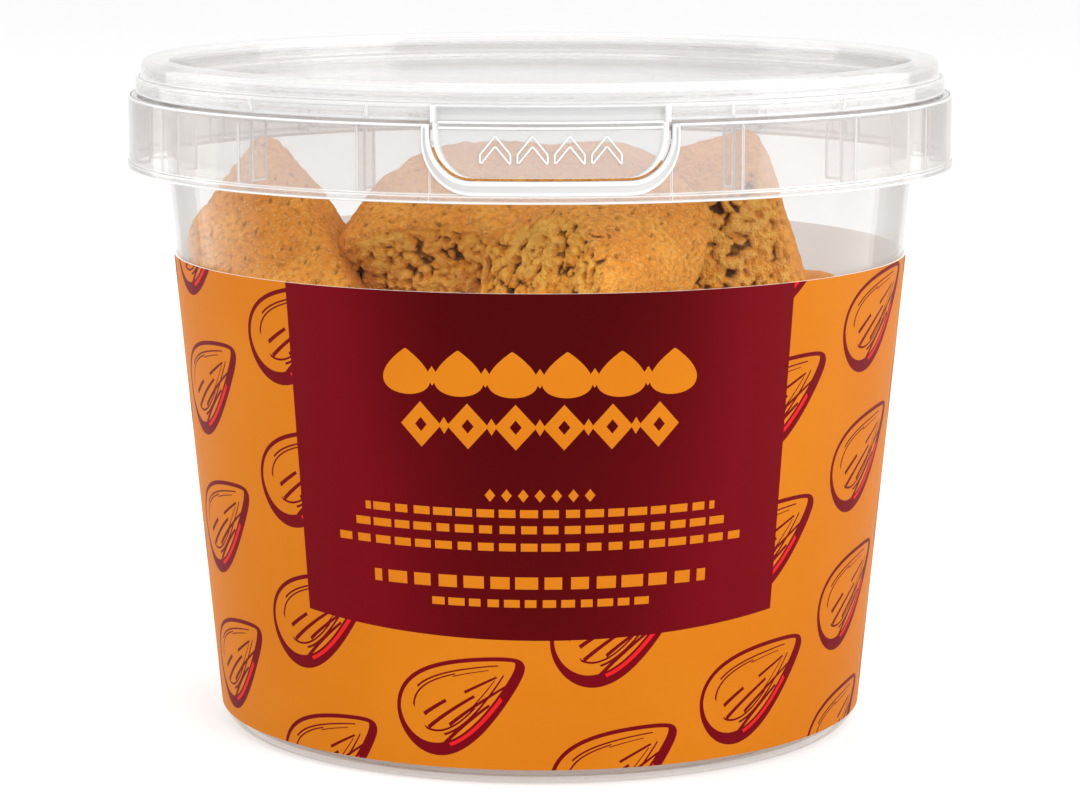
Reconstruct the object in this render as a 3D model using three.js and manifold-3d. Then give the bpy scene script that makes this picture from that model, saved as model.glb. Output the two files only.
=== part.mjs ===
// Round clear tub of almond biscotti, one litre, with its press-on lid and a wrap-round label.
// Millimetres, +Z up. The origin is the middle of the ring that the tub stands on.
// The pull tab faces -Y, turned a little towards +X.

import * as THREE from 'three';
import { mergeVertices } from 'three/addons/utils/BufferGeometryUtils.js';
import Module from 'manifold-3d';

// Whole pack
const SIDES = 60; // flats round every turned piece
const PACK_HEIGHT = 108;
const TAB_TURN = THREE.MathUtils.degToRad(1.4); // the closure stands this far round from -Y
const GAP = 0.3; // air between neighbouring pieces

// Tub wall and base
const WALL = 0.7;
const WALL_START = 3; // the straight wall begins here
const WALL_R = 52; // outer radius there
const DRAFT = 0.0925; // the wall opens by this much for each millimetre of height
const FOOT_IN = 45.7; // the tub stands on the ring between these radii
const FOOT_OUT = 49.8;
const BASE_LIFT = 1.2; // the middle of the base is raised by this
const BASE = 0.8;

// Skirt: a band round the rim that guards the edge of the lid
const SKIRT_R = 66.3;
const SKIRT_IN = 65.5;
const SKIRT_LOW = 90.6;
const SKIRT_TOP = 102.2;
const BEAD_R = 66.55; // bead along the skirt's lower edge, and the frame of the tab
const BEAD = 1.0;
const WEB = 0.8; // flat ring that joins the skirt to the wall
const RIM_TOP = 106.4;
const RIM_R = 62.6;

// Ribs stand between the wall and the skirt, evenly from one side of the tab round the back to the other
const RIBS = 17;
const RIB_FIRST = THREE.MathUtils.degToRad(25.6); // from the middle of the tab
const RIB = 0.6;
const RIB_LOW = 91.3;
const RIB_NOTCH = 0.7; // the inner half of a rib ends this much higher

// Tab: a tongue of the lid in a U-shaped window of the skirt, with a raised frame round the window
const TONGUE = { half: 16.5, low: 94.8, cornerX: 5.2, cornerZ: 5.8 };
const WINDOW = { half: 17.7, low: 94.0, cornerX: 6.0, cornerZ: 6.6 };
const FRAME = { half: 18.9, low: 91.7, cornerX: 7.4, cornerZ: 8.0 };
const TONGUE_TOP = 105;
const TONGUE_R = 66.2;
const TONGUE_THICK = 0.6;
const TAB_CUT = { from: 4, depth: 12 }; // a front outline reaches this far out from the skirt, and this deep
const LEDGE = 0.8; // shelf that carries the tongue out from the lid's wall
const BRIDGE_Z = 99.2; // breakable stubs between the frame and the tongue
const BRIDGE = { length: 0.9, height: 0.7 };
const MARKS = 4; // lift marks on the tongue
const MARK = { pitch: 5.4, low: 96.3, width: 4.4, height: 4.4, stroke: 1.0, proud: 0.3 };

// Lid
const LID_R = 64.15; // upper step
const LID_LOWER_R = 65.1; // lower step, inside the skirt's line
const LID_STEP = 105;
const LID_LOW = SKIRT_TOP + GAP;
const PANEL_TOP = 104.1;
const PANEL = 0.8;
const PLUG_R = 60.3; // wall that fills the tub's mouth

// Label
const LABEL_LOW = 2.7;
const LABEL_TOP = 76.7;
const LABEL_GAP = 0.25;
const LABEL = 0.3;

// Biscotti: length, thickness and height of an ordinary slice, and the slant of its cut faces
const SLICE = { length: 50, thick: 21, high: 24, slant: 0.12 };
const SQUARENESS = 8; // power that rounds the block: 2 is an ellipsoid, large is a box
const DOME_FALL = 0.22; // a slice is lower at its two ends by this share
const LAYERS = 3;
const PER_LAYER = 4;
const LAYER_PITCH = 23;
const FIRST_LAYER = 14.2;
const FROM_WALL = 18.5; // the slices' middles lie this far in from the wall
const CLEAR = 0.45; // the heap keeps off the plastic by this
const CORNER = { below: 5, slope: 0.7 }; // and leaves the rounded corner of the base free under this height
const HEAP_FLOOR = 2.4;
const HEAP_TOP = 101.5;
const CORE = { r: 30, low: 6, top: 70 };

// A slice laid by hand: its middle, the direction of its length, the direction of its domed top, its size,
// the slant of its two cut faces and how far the dome falls
const laid = (at, along, dome, size, slant, fall = DOME_FALL) => ({ at, along, dome, size, slant, fall });
const TOP_SLICES = [
  laid([-36.1, -16.9, 65.9], [0.44, -0.58, -0.69], [0.32, 0.82, -0.48], [50, 23, 28], 0.46),
  laid([-8.9, -20.6, 78.0], [0.94, -0.32, -0.08], [-0.09, -0.44, 0.89], [45, 22, 26], 0.00, 0.30),
  laid([8.2, -38.0, 76.6], [-0.07, -0.50, -0.87], [0.70, -0.63, 0.34], [30, 24, 29], -0.65, 0.38),
  laid([32.4, -16.5, 67.3], [-0.28, 0.08, 0.96], [-0.96, 0.04, -0.28], [55, 22, 22], 0.18),
  laid([-3.0, 31.0, 77.0], [0.97, 0.10, -0.10], [0.00, -0.30, 0.95], [46, 22, 24], 0.10),
  laid([4.0, -2.0, 79.6], [0.85, 0.45, 0.10], [0.10, -0.20, 0.95], [44, 22, 24], 0.20),
  laid([-19.0, 8.0, 65.0], [0.35, 0.92, 0.10], [-0.10, -0.10, 1.00], [46, 21, 22], 0.15),
  laid([24.0, 10.0, 65.0], [-0.35, 0.92, -0.10], [0.10, 0.10, 1.00], [46, 21, 22], 0.15),
];
const MIDDLE_SLICES = [
  laid([0, 0, 29], [0.05, 0.03, 1], [1, 0.2, 0], [53, 22, 23], 0.12),
  laid([1, -1, 66], [0.90, 0.30, 0.05], [0, 0.1, 1], [44, 22, 22], 0.12),
];

const wasm = await Module();
wasm.setup();

const clearPlastic = (color) => new THREE.MeshStandardMaterial({
  color, roughness: 0.12, metalness: 0, transparent: true, opacity: 0.3,
});

// --- Solids -------------------------------------------------------------------------------------

function toSolid(geometry) {
  const bare = geometry.clone();
  bare.deleteAttribute('normal');
  bare.deleteAttribute('uv');
  const merged = mergeVertices(bare, 1e-4);
  const triangles = [];
  for (let i = 0; i < merged.index.count; i += 3) {
    const [a, b, c] = [0, 1, 2].map((k) => merged.index.getX(i + k));
    if (a !== b && b !== c && c !== a) triangles.push(a, b, c);
  }
  return new wasm.Manifold(new wasm.Mesh({
    numProp: 3,
    vertProperties: new Float32Array(merged.attributes.position.array),
    triVerts: new Uint32Array(triangles),
  }));
}

function toGeometry(solid) {
  const mesh = solid.getMesh();
  const geometry = new THREE.BufferGeometry();
  geometry.setAttribute('position', new THREE.BufferAttribute(mesh.vertProperties, 3));
  geometry.setIndex(new THREE.BufferAttribute(mesh.triVerts, 1));
  return geometry;
}

function sum(solids) {
  return solids.reduce((whole, next) => whole.add(next));
}

// Turns a profile of [radius, height] about Z. It runs up its outer side and down its inner one.
function turned(profile, closed) {
  const points = profile.map(([r, z]) => new THREE.Vector2(r, z));
  if (closed) points.push(points[0].clone());
  return new THREE.LatheGeometry(points, SIDES).rotateX(Math.PI / 2);
}

function ring(inner, outer, low, top) {
  return toSolid(turned([[inner, low], [outer, low], [outer, top], [inner, top]], true));
}

// Points of a quarter arc about [r, z], from one angle to another
function arc(r, z, radius, from, to, steps) {
  return Array.from({ length: steps + 1 }, (_, i) => {
    const a = THREE.MathUtils.degToRad(from + ((to - from) * i) / steps);
    return [r + radius * Math.cos(a), z + radius * Math.sin(a)];
  });
}

const wallOut = (z) => WALL_R + DRAFT * (z - WALL_START);
const wallIn = (z) => wallOut(z) - WALL;

// --- Tab ----------------------------------------------------------------------------------------

// Outline of a U-shaped tongue seen from the front, closed across its top
function tongueOutline({ half, low, cornerX, cornerZ }, top) {
  const outline = new THREE.Shape();
  outline.moveTo(half, top);
  outline.lineTo(-half, top);
  outline.absellipse(-half + cornerX, low + cornerZ, cornerX, cornerZ, Math.PI, 1.5 * Math.PI, false);
  outline.absellipse(half - cornerX, low + cornerZ, cornerX, cornerZ, 1.5 * Math.PI, 2 * Math.PI, false);
  outline.closePath();
  return outline;
}

// Carries a front outline straight back from the tab, through the skirt
function throughFront(outline) {
  const { from, depth } = TAB_CUT;
  const bar = new THREE.ExtrudeGeometry(outline, { depth, bevelEnabled: false, curveSegments: 6 });
  bar.rotateX(Math.PI / 2).translate(0, depth - from - SKIRT_R, 0).rotateZ(TAB_TURN);
  return toSolid(bar);
}

// A front outline as a curved plate between two radii
function plate(outline, inner, outer, low, top) {
  return throughFront(outline).intersect(ring(inner, outer, low, top));
}

function liftMark(x) {
  const { low, width, height, stroke } = MARK;
  const upright = stroke * Math.SQRT2; // a slanted stroke measured up and down
  const rise = height - upright;
  const mark = new THREE.Shape();
  mark.moveTo(x - width / 2, low);
  mark.lineTo(x, low + rise);
  mark.lineTo(x + width / 2, low);
  mark.lineTo(x + width / 2, low + upright);
  mark.lineTo(x, low + height);
  mark.lineTo(x - width / 2, low + upright);
  mark.closePath();
  return mark;
}

function bridge(side) {
  const stub = new THREE.Shape();
  const from = side * (WINDOW.half + 0.2);
  const to = side * (WINDOW.half - BRIDGE.length);
  stub.moveTo(Math.min(from, to), BRIDGE_Z);
  stub.lineTo(Math.max(from, to), BRIDGE_Z);
  stub.lineTo(Math.max(from, to), BRIDGE_Z + BRIDGE.height);
  stub.lineTo(Math.min(from, to), BRIDGE_Z + BRIDGE.height);
  stub.closePath();
  return stub;
}

// --- Tub ----------------------------------------------------------------------------------------

function tubBody() {
  const cornerOut = wallOut(WALL_START) - FOOT_OUT;
  return toSolid(turned([
    [0, BASE_LIFT],
    [FOOT_IN - 0.9, BASE_LIFT],
    [FOOT_IN, 0],
    ...arc(FOOT_OUT, WALL_START, 1, -90, 0, 4).map(([r, z]) => [
      FOOT_OUT + (r - FOOT_OUT) * cornerOut, WALL_START + (z - WALL_START) * WALL_START,
    ]),
    [wallOut(SKIRT_TOP - WEB), SKIRT_TOP - WEB],
    [SKIRT_IN, SKIRT_TOP - WEB],
    [SKIRT_IN, SKIRT_LOW],
    [BEAD_R, SKIRT_LOW],
    [BEAD_R, SKIRT_LOW + BEAD],
    [SKIRT_R, SKIRT_LOW + BEAD + 0.3],
    [SKIRT_R, SKIRT_TOP - 0.3],
    [SKIRT_R - 0.3, SKIRT_TOP],
    [wallOut(SKIRT_TOP), SKIRT_TOP],
    [wallOut(RIM_TOP - 1.4), RIM_TOP - 1.4],
    [RIM_R, RIM_TOP - 1.1],
    [RIM_R, RIM_TOP - 0.3],
    [RIM_R - 0.3, RIM_TOP],
    [wallIn(RIM_TOP), RIM_TOP],
    [wallIn(WALL_START + 0.4), WALL_START + 0.4],
    [wallIn(WALL_START) - 0.4, WALL_START - 1.2],
    [FOOT_OUT - 0.3, BASE + 0.1],
    [FOOT_IN - 0.4, BASE + 0.1],
    [FOOT_IN - 1.4, BASE_LIFT + BASE],
    [0, BASE_LIFT + BASE],
  ], false));
}

function rib(angle) {
  const top = SKIRT_TOP - WEB / 2;
  const inner = RIB_LOW + RIB_NOTCH;
  const outer = SKIRT_IN + 0.3;
  const middle = (wallOut(inner) + SKIRT_IN) / 2;
  const side = new THREE.Shape();
  side.moveTo(wallOut(inner) - WALL / 2, inner);
  side.lineTo(middle, inner);
  side.lineTo(middle, RIB_LOW);
  side.lineTo(outer, RIB_LOW);
  side.lineTo(outer, top);
  side.lineTo(wallOut(top) - WALL / 2, top);
  side.closePath();
  const bar = new THREE.ExtrudeGeometry(side, { depth: RIB, bevelEnabled: false });
  bar.translate(0, 0, -RIB / 2).rotateX(Math.PI / 2).rotateZ(angle - Math.PI / 2 + TAB_TURN);
  return toSolid(bar);
}

function ribs() {
  const pitch = (2 * Math.PI - 2 * RIB_FIRST) / (RIBS - 1);
  return Array.from({ length: RIBS }, (_, i) => rib(RIB_FIRST + i * pitch));
}

function tub() {
  const over = SKIRT_TOP + 1;
  const opening = plate(tongueOutline(WINDOW, over), SKIRT_IN - 0.1, BEAD_R + 1, SKIRT_LOW, over);
  const frame = plate(tongueOutline(FRAME, SKIRT_TOP), SKIRT_IN, BEAD_R, SKIRT_LOW, SKIRT_TOP);
  const stubs = [-1, 1].map((side) => plate(bridge(side), SKIRT_IN + 0.2, SKIRT_R, SKIRT_LOW, SKIRT_TOP));
  const solid = sum([tubBody(), ...ribs(), frame]).subtract(opening);
  const mesh = new THREE.Mesh(toGeometry(sum([solid, ...stubs])), clearPlastic(0xeceae8));
  mesh.name = 'tub';
  return mesh;
}

// --- Lid ----------------------------------------------------------------------------------------

function lidBody() {
  const rimIn = RIM_R + 0.75; // inner side of the channel that closes over the tub's rim
  const channelTop = PACK_HEIGHT - 0.8;
  return toSolid(turned([
    [0, PANEL_TOP - PANEL],
    [PLUG_R - 2.7, PANEL_TOP - PANEL],
    [PLUG_R - 1, PANEL_TOP - PANEL - 0.4],
    [PLUG_R - 0.2, PANEL_TOP - PANEL + 0.2],
    [PLUG_R, channelTop - 0.6],
    [PLUG_R + 0.6, channelTop],
    [rimIn - 0.6, channelTop],
    [rimIn, channelTop - 0.5],
    [rimIn, LID_STEP - 0.4],
    [LID_LOWER_R - 0.8, LID_STEP - 0.8],
    [LID_LOWER_R - 0.8, LID_LOW],
    [LID_LOWER_R, LID_LOW],
    [LID_LOWER_R, LID_STEP - 0.5],
    [LID_LOWER_R - 0.4, LID_STEP],
    [LID_R, LID_STEP + 0.2],
    [LID_R, PACK_HEIGHT - 1],
    [LID_R - 0.3, PACK_HEIGHT - 0.3],
    [LID_R - 1, PACK_HEIGHT],
    [PLUG_R + 0.3, PACK_HEIGHT],
    [PLUG_R - 0.4, PACK_HEIGHT - 0.3],
    [PLUG_R - 0.8, PACK_HEIGHT - 1],
    [PLUG_R - 1.2, PANEL_TOP + 1],
    [PLUG_R - 1.9, PANEL_TOP + 0.3],
    [PLUG_R - 2.9, PANEL_TOP],
    [0, PANEL_TOP],
  ], false));
}

function lid() {
  const inner = TONGUE_R - TONGUE_THICK;
  const outline = tongueOutline(TONGUE, TONGUE_TOP);
  const tongue = plate(outline, inner, TONGUE_R, SKIRT_LOW, TONGUE_TOP);
  const ledge = plate(outline, LID_LOWER_R - 0.6, TONGUE_R, TONGUE_TOP - LEDGE, TONGUE_TOP);
  const marks = [];
  for (let i = 0; i < MARKS; i += 1) {
    const x = (i - (MARKS - 1) / 2) * MARK.pitch;
    marks.push(plate(liftMark(x), inner + 0.1, TONGUE_R + MARK.proud, SKIRT_LOW, TONGUE_TOP));
  }
  const solid = sum([lidBody(), ledge, tongue, ...marks]);
  const mesh = new THREE.Mesh(toGeometry(solid), clearPlastic(0xf3f2f1));
  mesh.name = 'lid';
  return mesh;
}

// --- Label --------------------------------------------------------------------------------------

function label() {
  const inner = (z) => wallOut(z) + LABEL_GAP;
  const sleeve = turned([
    [inner(LABEL_LOW), LABEL_LOW],
    [inner(LABEL_LOW) + LABEL, LABEL_LOW],
    [inner(LABEL_TOP) + LABEL, LABEL_TOP],
    [inner(LABEL_TOP), LABEL_TOP],
  ], true);
  const finish = new THREE.MeshStandardMaterial({ color: 0xeb8f26, roughness: 0.35, metalness: 0 });
  const mesh = new THREE.Mesh(toGeometry(toSolid(sleeve)), finish);
  mesh.name = 'label';
  return mesh;
}

// --- Biscotti -----------------------------------------------------------------------------------

// An even draw from 0 to 1, the same every time for the same two numbers
function draw(i, k) {
  const v = Math.sin(12.9898 * (i + 1) + 78.233 * (k + 1)) * 43758.5453;
  return v - Math.floor(v);
}

// Largest radius that a slice can reach at a height, with the rounded corner of the base left free
function lining(z) {
  return wallIn(z) - CLEAR - Math.max(0, CORNER.below - z) * CORNER.slope;
}

// A slice of baked log: a rounded block with a flat bottom, whose top falls towards its ends. Each point of
// a gridded box is drawn in to the rounded block, then bent, slanted, turned and pressed off the plastic.
function slice({ at, along, dome, size, slant, fall }, grid) {
  const [length, thick, high] = size;
  const x = new THREE.Vector3(...along).normalize();
  const z = new THREE.Vector3(...dome);
  z.addScaledVector(x, -z.dot(x)).normalize();
  const y = new THREE.Vector3().crossVectors(z, x);
  const stand = new THREE.Matrix4().makeBasis(x, y, z).setPosition(...at);

  const block = new THREE.BoxGeometry(2, 2, 2, ...grid);
  const points = block.attributes.position;
  const p = new THREE.Vector3();
  for (let i = 0; i < points.count; i += 1) {
    p.fromBufferAttribute(points, i).normalize();
    const power = Math.abs(p.x) ** SQUARENESS + Math.abs(p.y) ** SQUARENESS + Math.abs(p.z) ** SQUARENESS;
    p.multiplyScalar(power ** (-1 / SQUARENESS));
    p.z = -1 + (p.z + 1) * (1 - fall * p.x ** 2);
    p.set((p.x * length) / 2, (p.y * thick) / 2, (p.z * high) / 2);
    p.x += slant * p.y;
    p.applyMatrix4(stand);
    p.z = THREE.MathUtils.clamp(p.z, HEAP_FLOOR, HEAP_TOP);
    const reach = Math.hypot(p.x, p.y);
    const pressed = Math.min(1, lining(p.z) / reach);
    points.setXYZ(i, p.x * pressed, p.y * pressed, p.z);
  }
  return toSolid(block);
}

// The slices below the ones that show lie in rings of four, each ring turned by half a step
function ringSlices() {
  const slices = [];
  for (let layer = 0; layer < LAYERS; layer += 1) {
    const z = FIRST_LAYER + LAYER_PITCH * layer;
    const r = wallIn(z) - FROM_WALL;
    for (let j = 0; j < PER_LAYER; j += 1) {
      const i = slices.length;
      const yaw = THREE.MathUtils.degToRad(90 * j + 45 * layer + 14 * (draw(i, 0) - 0.5));
      const lean = 0.3 * (draw(i, 3) - 0.5);
      slices.push({
        at: [r * Math.cos(yaw), r * Math.sin(yaw), z + 1.6 * (draw(i, 2) - 0.5)],
        along: [-Math.sin(yaw), Math.cos(yaw), 0.16 * (draw(i, 1) - 0.5)],
        dome: [lean * Math.cos(yaw), lean * Math.sin(yaw), 1],
        size: [SLICE.length, SLICE.thick + 2 * draw(i, 4), SLICE.high],
        slant: SLICE.slant,
        fall: DOME_FALL,
      });
    }
  }
  return slices;
}

// The heap is one body: a plain core in the middle, with the slices fused to it
function biscotti() {
  const core = toSolid(turned([[0, CORE.low], [CORE.r, CORE.low], [CORE.r, CORE.top], [0, CORE.top]], false));
  const shown = TOP_SLICES.map((one) => slice(one, [5, 4, 4]));
  const hidden = [...ringSlices(), ...MIDDLE_SLICES].map((one) => slice(one, [4, 2, 2]));
  const bodies = sum([core, ...hidden, ...shown]).decompose();
  const heap = bodies.reduce((best, next) => (next.volume() > best.volume() ? next : best));
  const crust = new THREE.MeshStandardMaterial({ color: 0xd0883e, roughness: 0.85, metalness: 0 });
  const mesh = new THREE.Mesh(toGeometry(heap), crust);
  mesh.name = 'biscotti';
  return mesh;
}

const pack = new THREE.Group();
pack.add(tub(), lid(), label(), biscotti());

export default pack;
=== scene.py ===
# %% [markdown]
# # A clear tub of almond biscotti
#
# A round plastic tub with a lid, a printed label round it and a heap of biscotti inside. The solid
# model of the tub is loaded first and stays as it is: it gives every size and place. Each piece made
# here is a finer surface that stands where one of its solids is.
#
# Lengths are written in millimetres, because plastic parts are drawn in millimetres, and turned into
# Blender's metres in one place, where a mesh is made.

# %% The frame
import itertools
import math

import bpy
import numpy as np
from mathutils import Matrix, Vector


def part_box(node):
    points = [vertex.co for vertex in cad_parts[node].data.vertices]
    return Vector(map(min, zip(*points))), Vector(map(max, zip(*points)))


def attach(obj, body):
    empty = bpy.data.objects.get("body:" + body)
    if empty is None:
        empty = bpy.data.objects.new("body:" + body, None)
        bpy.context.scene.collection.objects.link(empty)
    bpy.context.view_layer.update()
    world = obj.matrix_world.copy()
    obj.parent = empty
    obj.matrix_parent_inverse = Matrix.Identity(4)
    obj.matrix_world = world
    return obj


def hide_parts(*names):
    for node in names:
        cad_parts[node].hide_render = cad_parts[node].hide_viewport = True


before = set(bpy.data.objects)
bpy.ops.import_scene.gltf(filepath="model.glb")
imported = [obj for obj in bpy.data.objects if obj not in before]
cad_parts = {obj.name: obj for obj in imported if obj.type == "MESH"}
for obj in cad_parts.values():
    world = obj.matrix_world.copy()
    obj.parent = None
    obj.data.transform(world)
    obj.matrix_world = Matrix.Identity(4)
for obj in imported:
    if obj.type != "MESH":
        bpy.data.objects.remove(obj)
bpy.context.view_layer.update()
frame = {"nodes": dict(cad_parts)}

MM = 0.001
print("nodes of the frame:", ", ".join(frame["nodes"]))

# %% [markdown]
# ## Driving sizes
#
# The frame gives the outer sizes: how wide the rim bead is, how high the lid, where the label starts
# and ends. What the boxes can't say, such as wall thickness, is set here once. The wall of the tub is
# a straight line in profile that leans out as it rises, so two functions give its radius at a height.

# %% Driving sizes


def box_mm(node):
    """Lowest and highest corner of a node of the frame, in millimetres."""
    return [np.array(corner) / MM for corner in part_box(node)]


LID_TOP = box_mm("lid")[1][2]
RIM_TOP = box_mm("tub")[1][2]
BEAD_R = box_mm("tub")[1][0]
LABEL_LOW, LABEL_TOP = box_mm("label")[0][2], box_mm("label")[1][2]

WALL = 0.7
DRAFT = 0.0925  # how much the wall opens for each millimetre of height
LABEL_GAP, LABEL = 0.25, 0.3
WALL_AT_LABEL_TOP = box_mm("label")[1][0] - LABEL_GAP - LABEL
TAB_TURN = math.radians(1.4)  # the closure stands this far round from the front


def wall_out(z):
    """Outer radius of the tub's wall at a height."""
    return WALL_AT_LABEL_TOP + DRAFT * (z - LABEL_TOP)


def wall_in(z):
    """Inner radius of the tub's wall at a height."""
    return wall_out(z) - WALL


print(f"lid top {LID_TOP:.1f}, wall radius {wall_out(3):.1f} to {wall_out(RIM_TOP):.1f}")

# %% [markdown]
# ## From numbers to a mesh
#
# Every shape below is a grid of points: one number runs along its rows, another along its columns,
# and a formula gives a point for each pair. Neighbouring grid points make a four-sided face. Where a
# grid closes on itself, or shrinks to a point at a pole, several of its points fall together. They
# are merged, so that the surface has no seam and no hole, and a face that the pole has flattened
# becomes a triangle.

# %% Grids and meshes


def grid_faces(rows, columns, close_rows=False, close_columns=False):
    """Corner numbers of a grid's faces. Seen from outside, columns run to the right and rows run up."""
    ids = np.arange(rows * columns).reshape(rows, columns)
    if close_rows:
        ids = np.vstack([ids, ids[:1]])
    if close_columns:
        ids = np.hstack([ids, ids[:, :1]])
    return np.stack([ids[:-1, :-1], ids[:-1, 1:], ids[1:, 1:], ids[1:, :-1]], -1).reshape(-1, 4)


def merged(points, faces, digits=4):
    """Points that fall together become one, and the faces point at it."""
    _, first, index = np.unique(np.round(points, digits), axis=0, return_index=True, return_inverse=True)
    return points[first], index.reshape(-1)[faces], first


def without_repeats(faces):
    """Four-sided faces as they are, and those with two equal neighbouring corners as triangles."""
    same = faces == np.roll(faces, -1, axis=1)
    whole = faces[~same.any(axis=1)]
    thin = faces[same.sum(axis=1) == 1]
    where = same[same.sum(axis=1) == 1].argmax(axis=1)
    keep = (where[:, None] + np.array([1, 2, 3])) % 4
    return whole.tolist() + np.take_along_axis(thin, keep, axis=1).tolist()


NO_BEND, FULL_BEND = math.radians(2), math.radians(9)


def bend_of(points, faces):
    """How sharply a surface bends at each point, from 0 to 1. The unit directions of the faces round a
    point are averaged: the more they differ, the shorter their mean, and its length is the cosine of
    about the angle between them. The gentle bend of a wide round wall counts as none."""
    across = [points[faces[:, k + 2]] - points[faces[:, k]] for k in (0, 1)]
    facing = np.cross(across[0], across[1])
    facing /= np.maximum(np.linalg.norm(facing, axis=1, keepdims=True), 1e-9)
    total, count = np.zeros_like(points), np.zeros(len(points))
    for k in range(4):
        np.add.at(total, faces[:, k], facing)
        np.add.at(count, faces[:, k], 1)
    length = np.linalg.norm(total, axis=1) / np.maximum(count, 1)
    angle = np.arccos(np.clip(length, 0, 1))
    return np.clip((angle - NO_BEND) / (FULL_BEND - NO_BEND), 0, 1)


def make_piece(name, points, faces, slot, node, material, attributes=None, uv=None, bend=True):
    """A finished piece: points in millimetres and faces become a smooth mesh in metres, which rides on
    the tub's one body and stands for a node of the frame. Its finish is the material; slot is not used."""
    points, faces, first = merged(np.asarray(points, float).reshape(-1, 3), faces)
    mesh = bpy.data.meshes.new(name)
    mesh.from_pydata((points * MM).tolist(), [], without_repeats(faces))
    if bend:
        layer = mesh.attributes.new("bend", "FLOAT", "POINT")
        layer.data.foreach_set("value", bend_of(points, faces).astype(np.float32))
    for key, values in (attributes or {}).items():
        layer = mesh.attributes.new(key, "FLOAT", "POINT")
        layer.data.foreach_set("value", np.asarray(values, np.float32).reshape(-1)[first])
    if uv is not None:
        corners = np.empty(len(mesh.loops), np.int32)
        mesh.loops.foreach_get("vertex_index", corners)
        layer = mesh.uv_layers.new(name="wrap")
        layer.uv.foreach_set("vector", np.asarray(uv, np.float32).reshape(-1, 2)[first][corners].ravel())
    mesh.shade_smooth()
    mesh.materials.append(material)
    piece = bpy.data.objects.new(name, mesh)
    bpy.context.collection.objects.link(piece)
    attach(piece, "root")
    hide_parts(node)
    print(f"{name}: {len(mesh.polygons)} faces")
    return piece


# %% [markdown]
# ## Writing a material as sums
#
# A shader is a graph of small nodes, and a pattern can need a hundred of them. Written one by one they
# are hard to read. So one class wraps a node's output, and Python's own signs add the Math nodes:
# `1 - mask * 0.5` makes two nodes. Every other node comes from one method, which takes the node's
# type, its settings and what its sockets hold.

# %% Sockets that can be added and multiplied


class Term:
    """An output socket of a material. Sums written on it become Math nodes."""

    def __init__(self, finish, socket):
        self.finish, self.socket = finish, socket

    def maths(self, operation, *others, clamp=False):
        inputs = dict(enumerate([self, *others]))
        return self.finish.node("ShaderNodeMath", {"operation": operation, "use_clamp": clamp}, inputs)

    def __add__(self, other):
        return self.maths("ADD", other)

    def __mul__(self, other):
        return self.maths("MULTIPLY", other)

    def __sub__(self, other):
        return self.maths("SUBTRACT", other)

    def __truediv__(self, other):
        return self.maths("DIVIDE", other)

    def __pow__(self, other):
        return self.maths("POWER", other)

    def __rsub__(self, other):
        return (self * -1).maths("ADD", other)

    __radd__, __rmul__ = __add__, __mul__

    def above(self, limit):
        return self.maths("GREATER_THAN", limit)

    def below(self, limit):
        return self.maths("LESS_THAN", limit)

    def least(self, other):
        return self.maths("MINIMUM", other)

    def most(self, other):
        return self.maths("MAXIMUM", other)

    def size(self):
        return self.maths("ABSOLUTE")

    def floor(self):
        return self.maths("FLOOR")

    def part(self):
        """What is left of a number after its whole part."""
        return self.maths("FRACT")

    def root(self):
        return self.maths("SQRT")

    def ramp(self, low, high, to_low=0.0, to_high=1.0):
        """Goes smoothly from to_low to to_high as the value goes from low to high."""
        settings = {"interpolation_type": "SMOOTHSTEP"}
        inputs = {0: self, 1: low, 2: high, 3: to_low, 4: to_high}
        return self.finish.node("ShaderNodeMapRange", settings, inputs)


class Finish:
    """A material that is built up from expressions."""

    def __init__(self, name):
        self.material = bpy.data.materials.new(name)
        self.material.use_nodes = True
        self.tree = self.material.node_tree
        self.tree.nodes.clear()

    def node(self, kind, settings=None, inputs=None, output=0):
        """Adds a node: its settings first, then a value or a link for each socket."""
        made = self.tree.nodes.new(kind)
        for key, value in (settings or {}).items():
            setattr(made, key, value)
        for key, value in (inputs or {}).items():
            if isinstance(value, Term):
                self.tree.links.new(value.socket, made.inputs[key])
            else:
                made.inputs[key].default_value = value
        return Term(self, made.outputs[output])

    def mix(self, share, first, second):
        """A colour between two others."""
        colours = {0: share, 6: self.colour(first), 7: self.colour(second)}
        return self.node("ShaderNodeMix", {"data_type": "RGBA"}, colours, output=2)

    @staticmethod
    def colour(value):
        return value if isinstance(value, Term) else (*value, 1.0)

    def place(self):
        """Where a point of the piece is, in millimetres."""
        spot = self.node("ShaderNodeTexCoord", output=3)
        return self.node("ShaderNodeVectorMath", {"operation": "SCALE"}, {0: spot, "Scale": 1 / MM})

    def attribute(self, name):
        return self.node("ShaderNodeAttribute", {"attribute_name": name}, output=2)

    def noise(self, place, size, detail=3.0, rough=0.55):
        """Soft random values from 0 to 1, whose lumps are about this many millimetres wide."""
        inputs = {"Vector": place, "Scale": 1 / size, "Detail": detail, "Roughness": rough}
        return self.node("ShaderNodeTexNoise", {}, inputs)

    def bump(self, height, depth):
        """A normal tilted as if the surface rose by this depth, in millimetres, where height is 1."""
        inputs = {"Height": height, "Distance": depth * MM, "Strength": 1.0}
        return self.node("ShaderNodeBump", {}, inputs)

    def principled(self, **sockets):
        inputs = {key.replace("_", " "): value for key, value in sockets.items()}
        return self.node("ShaderNodeBsdfPrincipled", {}, inputs)

    def show(self, shader):
        output = self.tree.nodes.new("ShaderNodeOutputMaterial")
        self.tree.links.new(shader.socket, output.inputs["Surface"])
        return self.material
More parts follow.
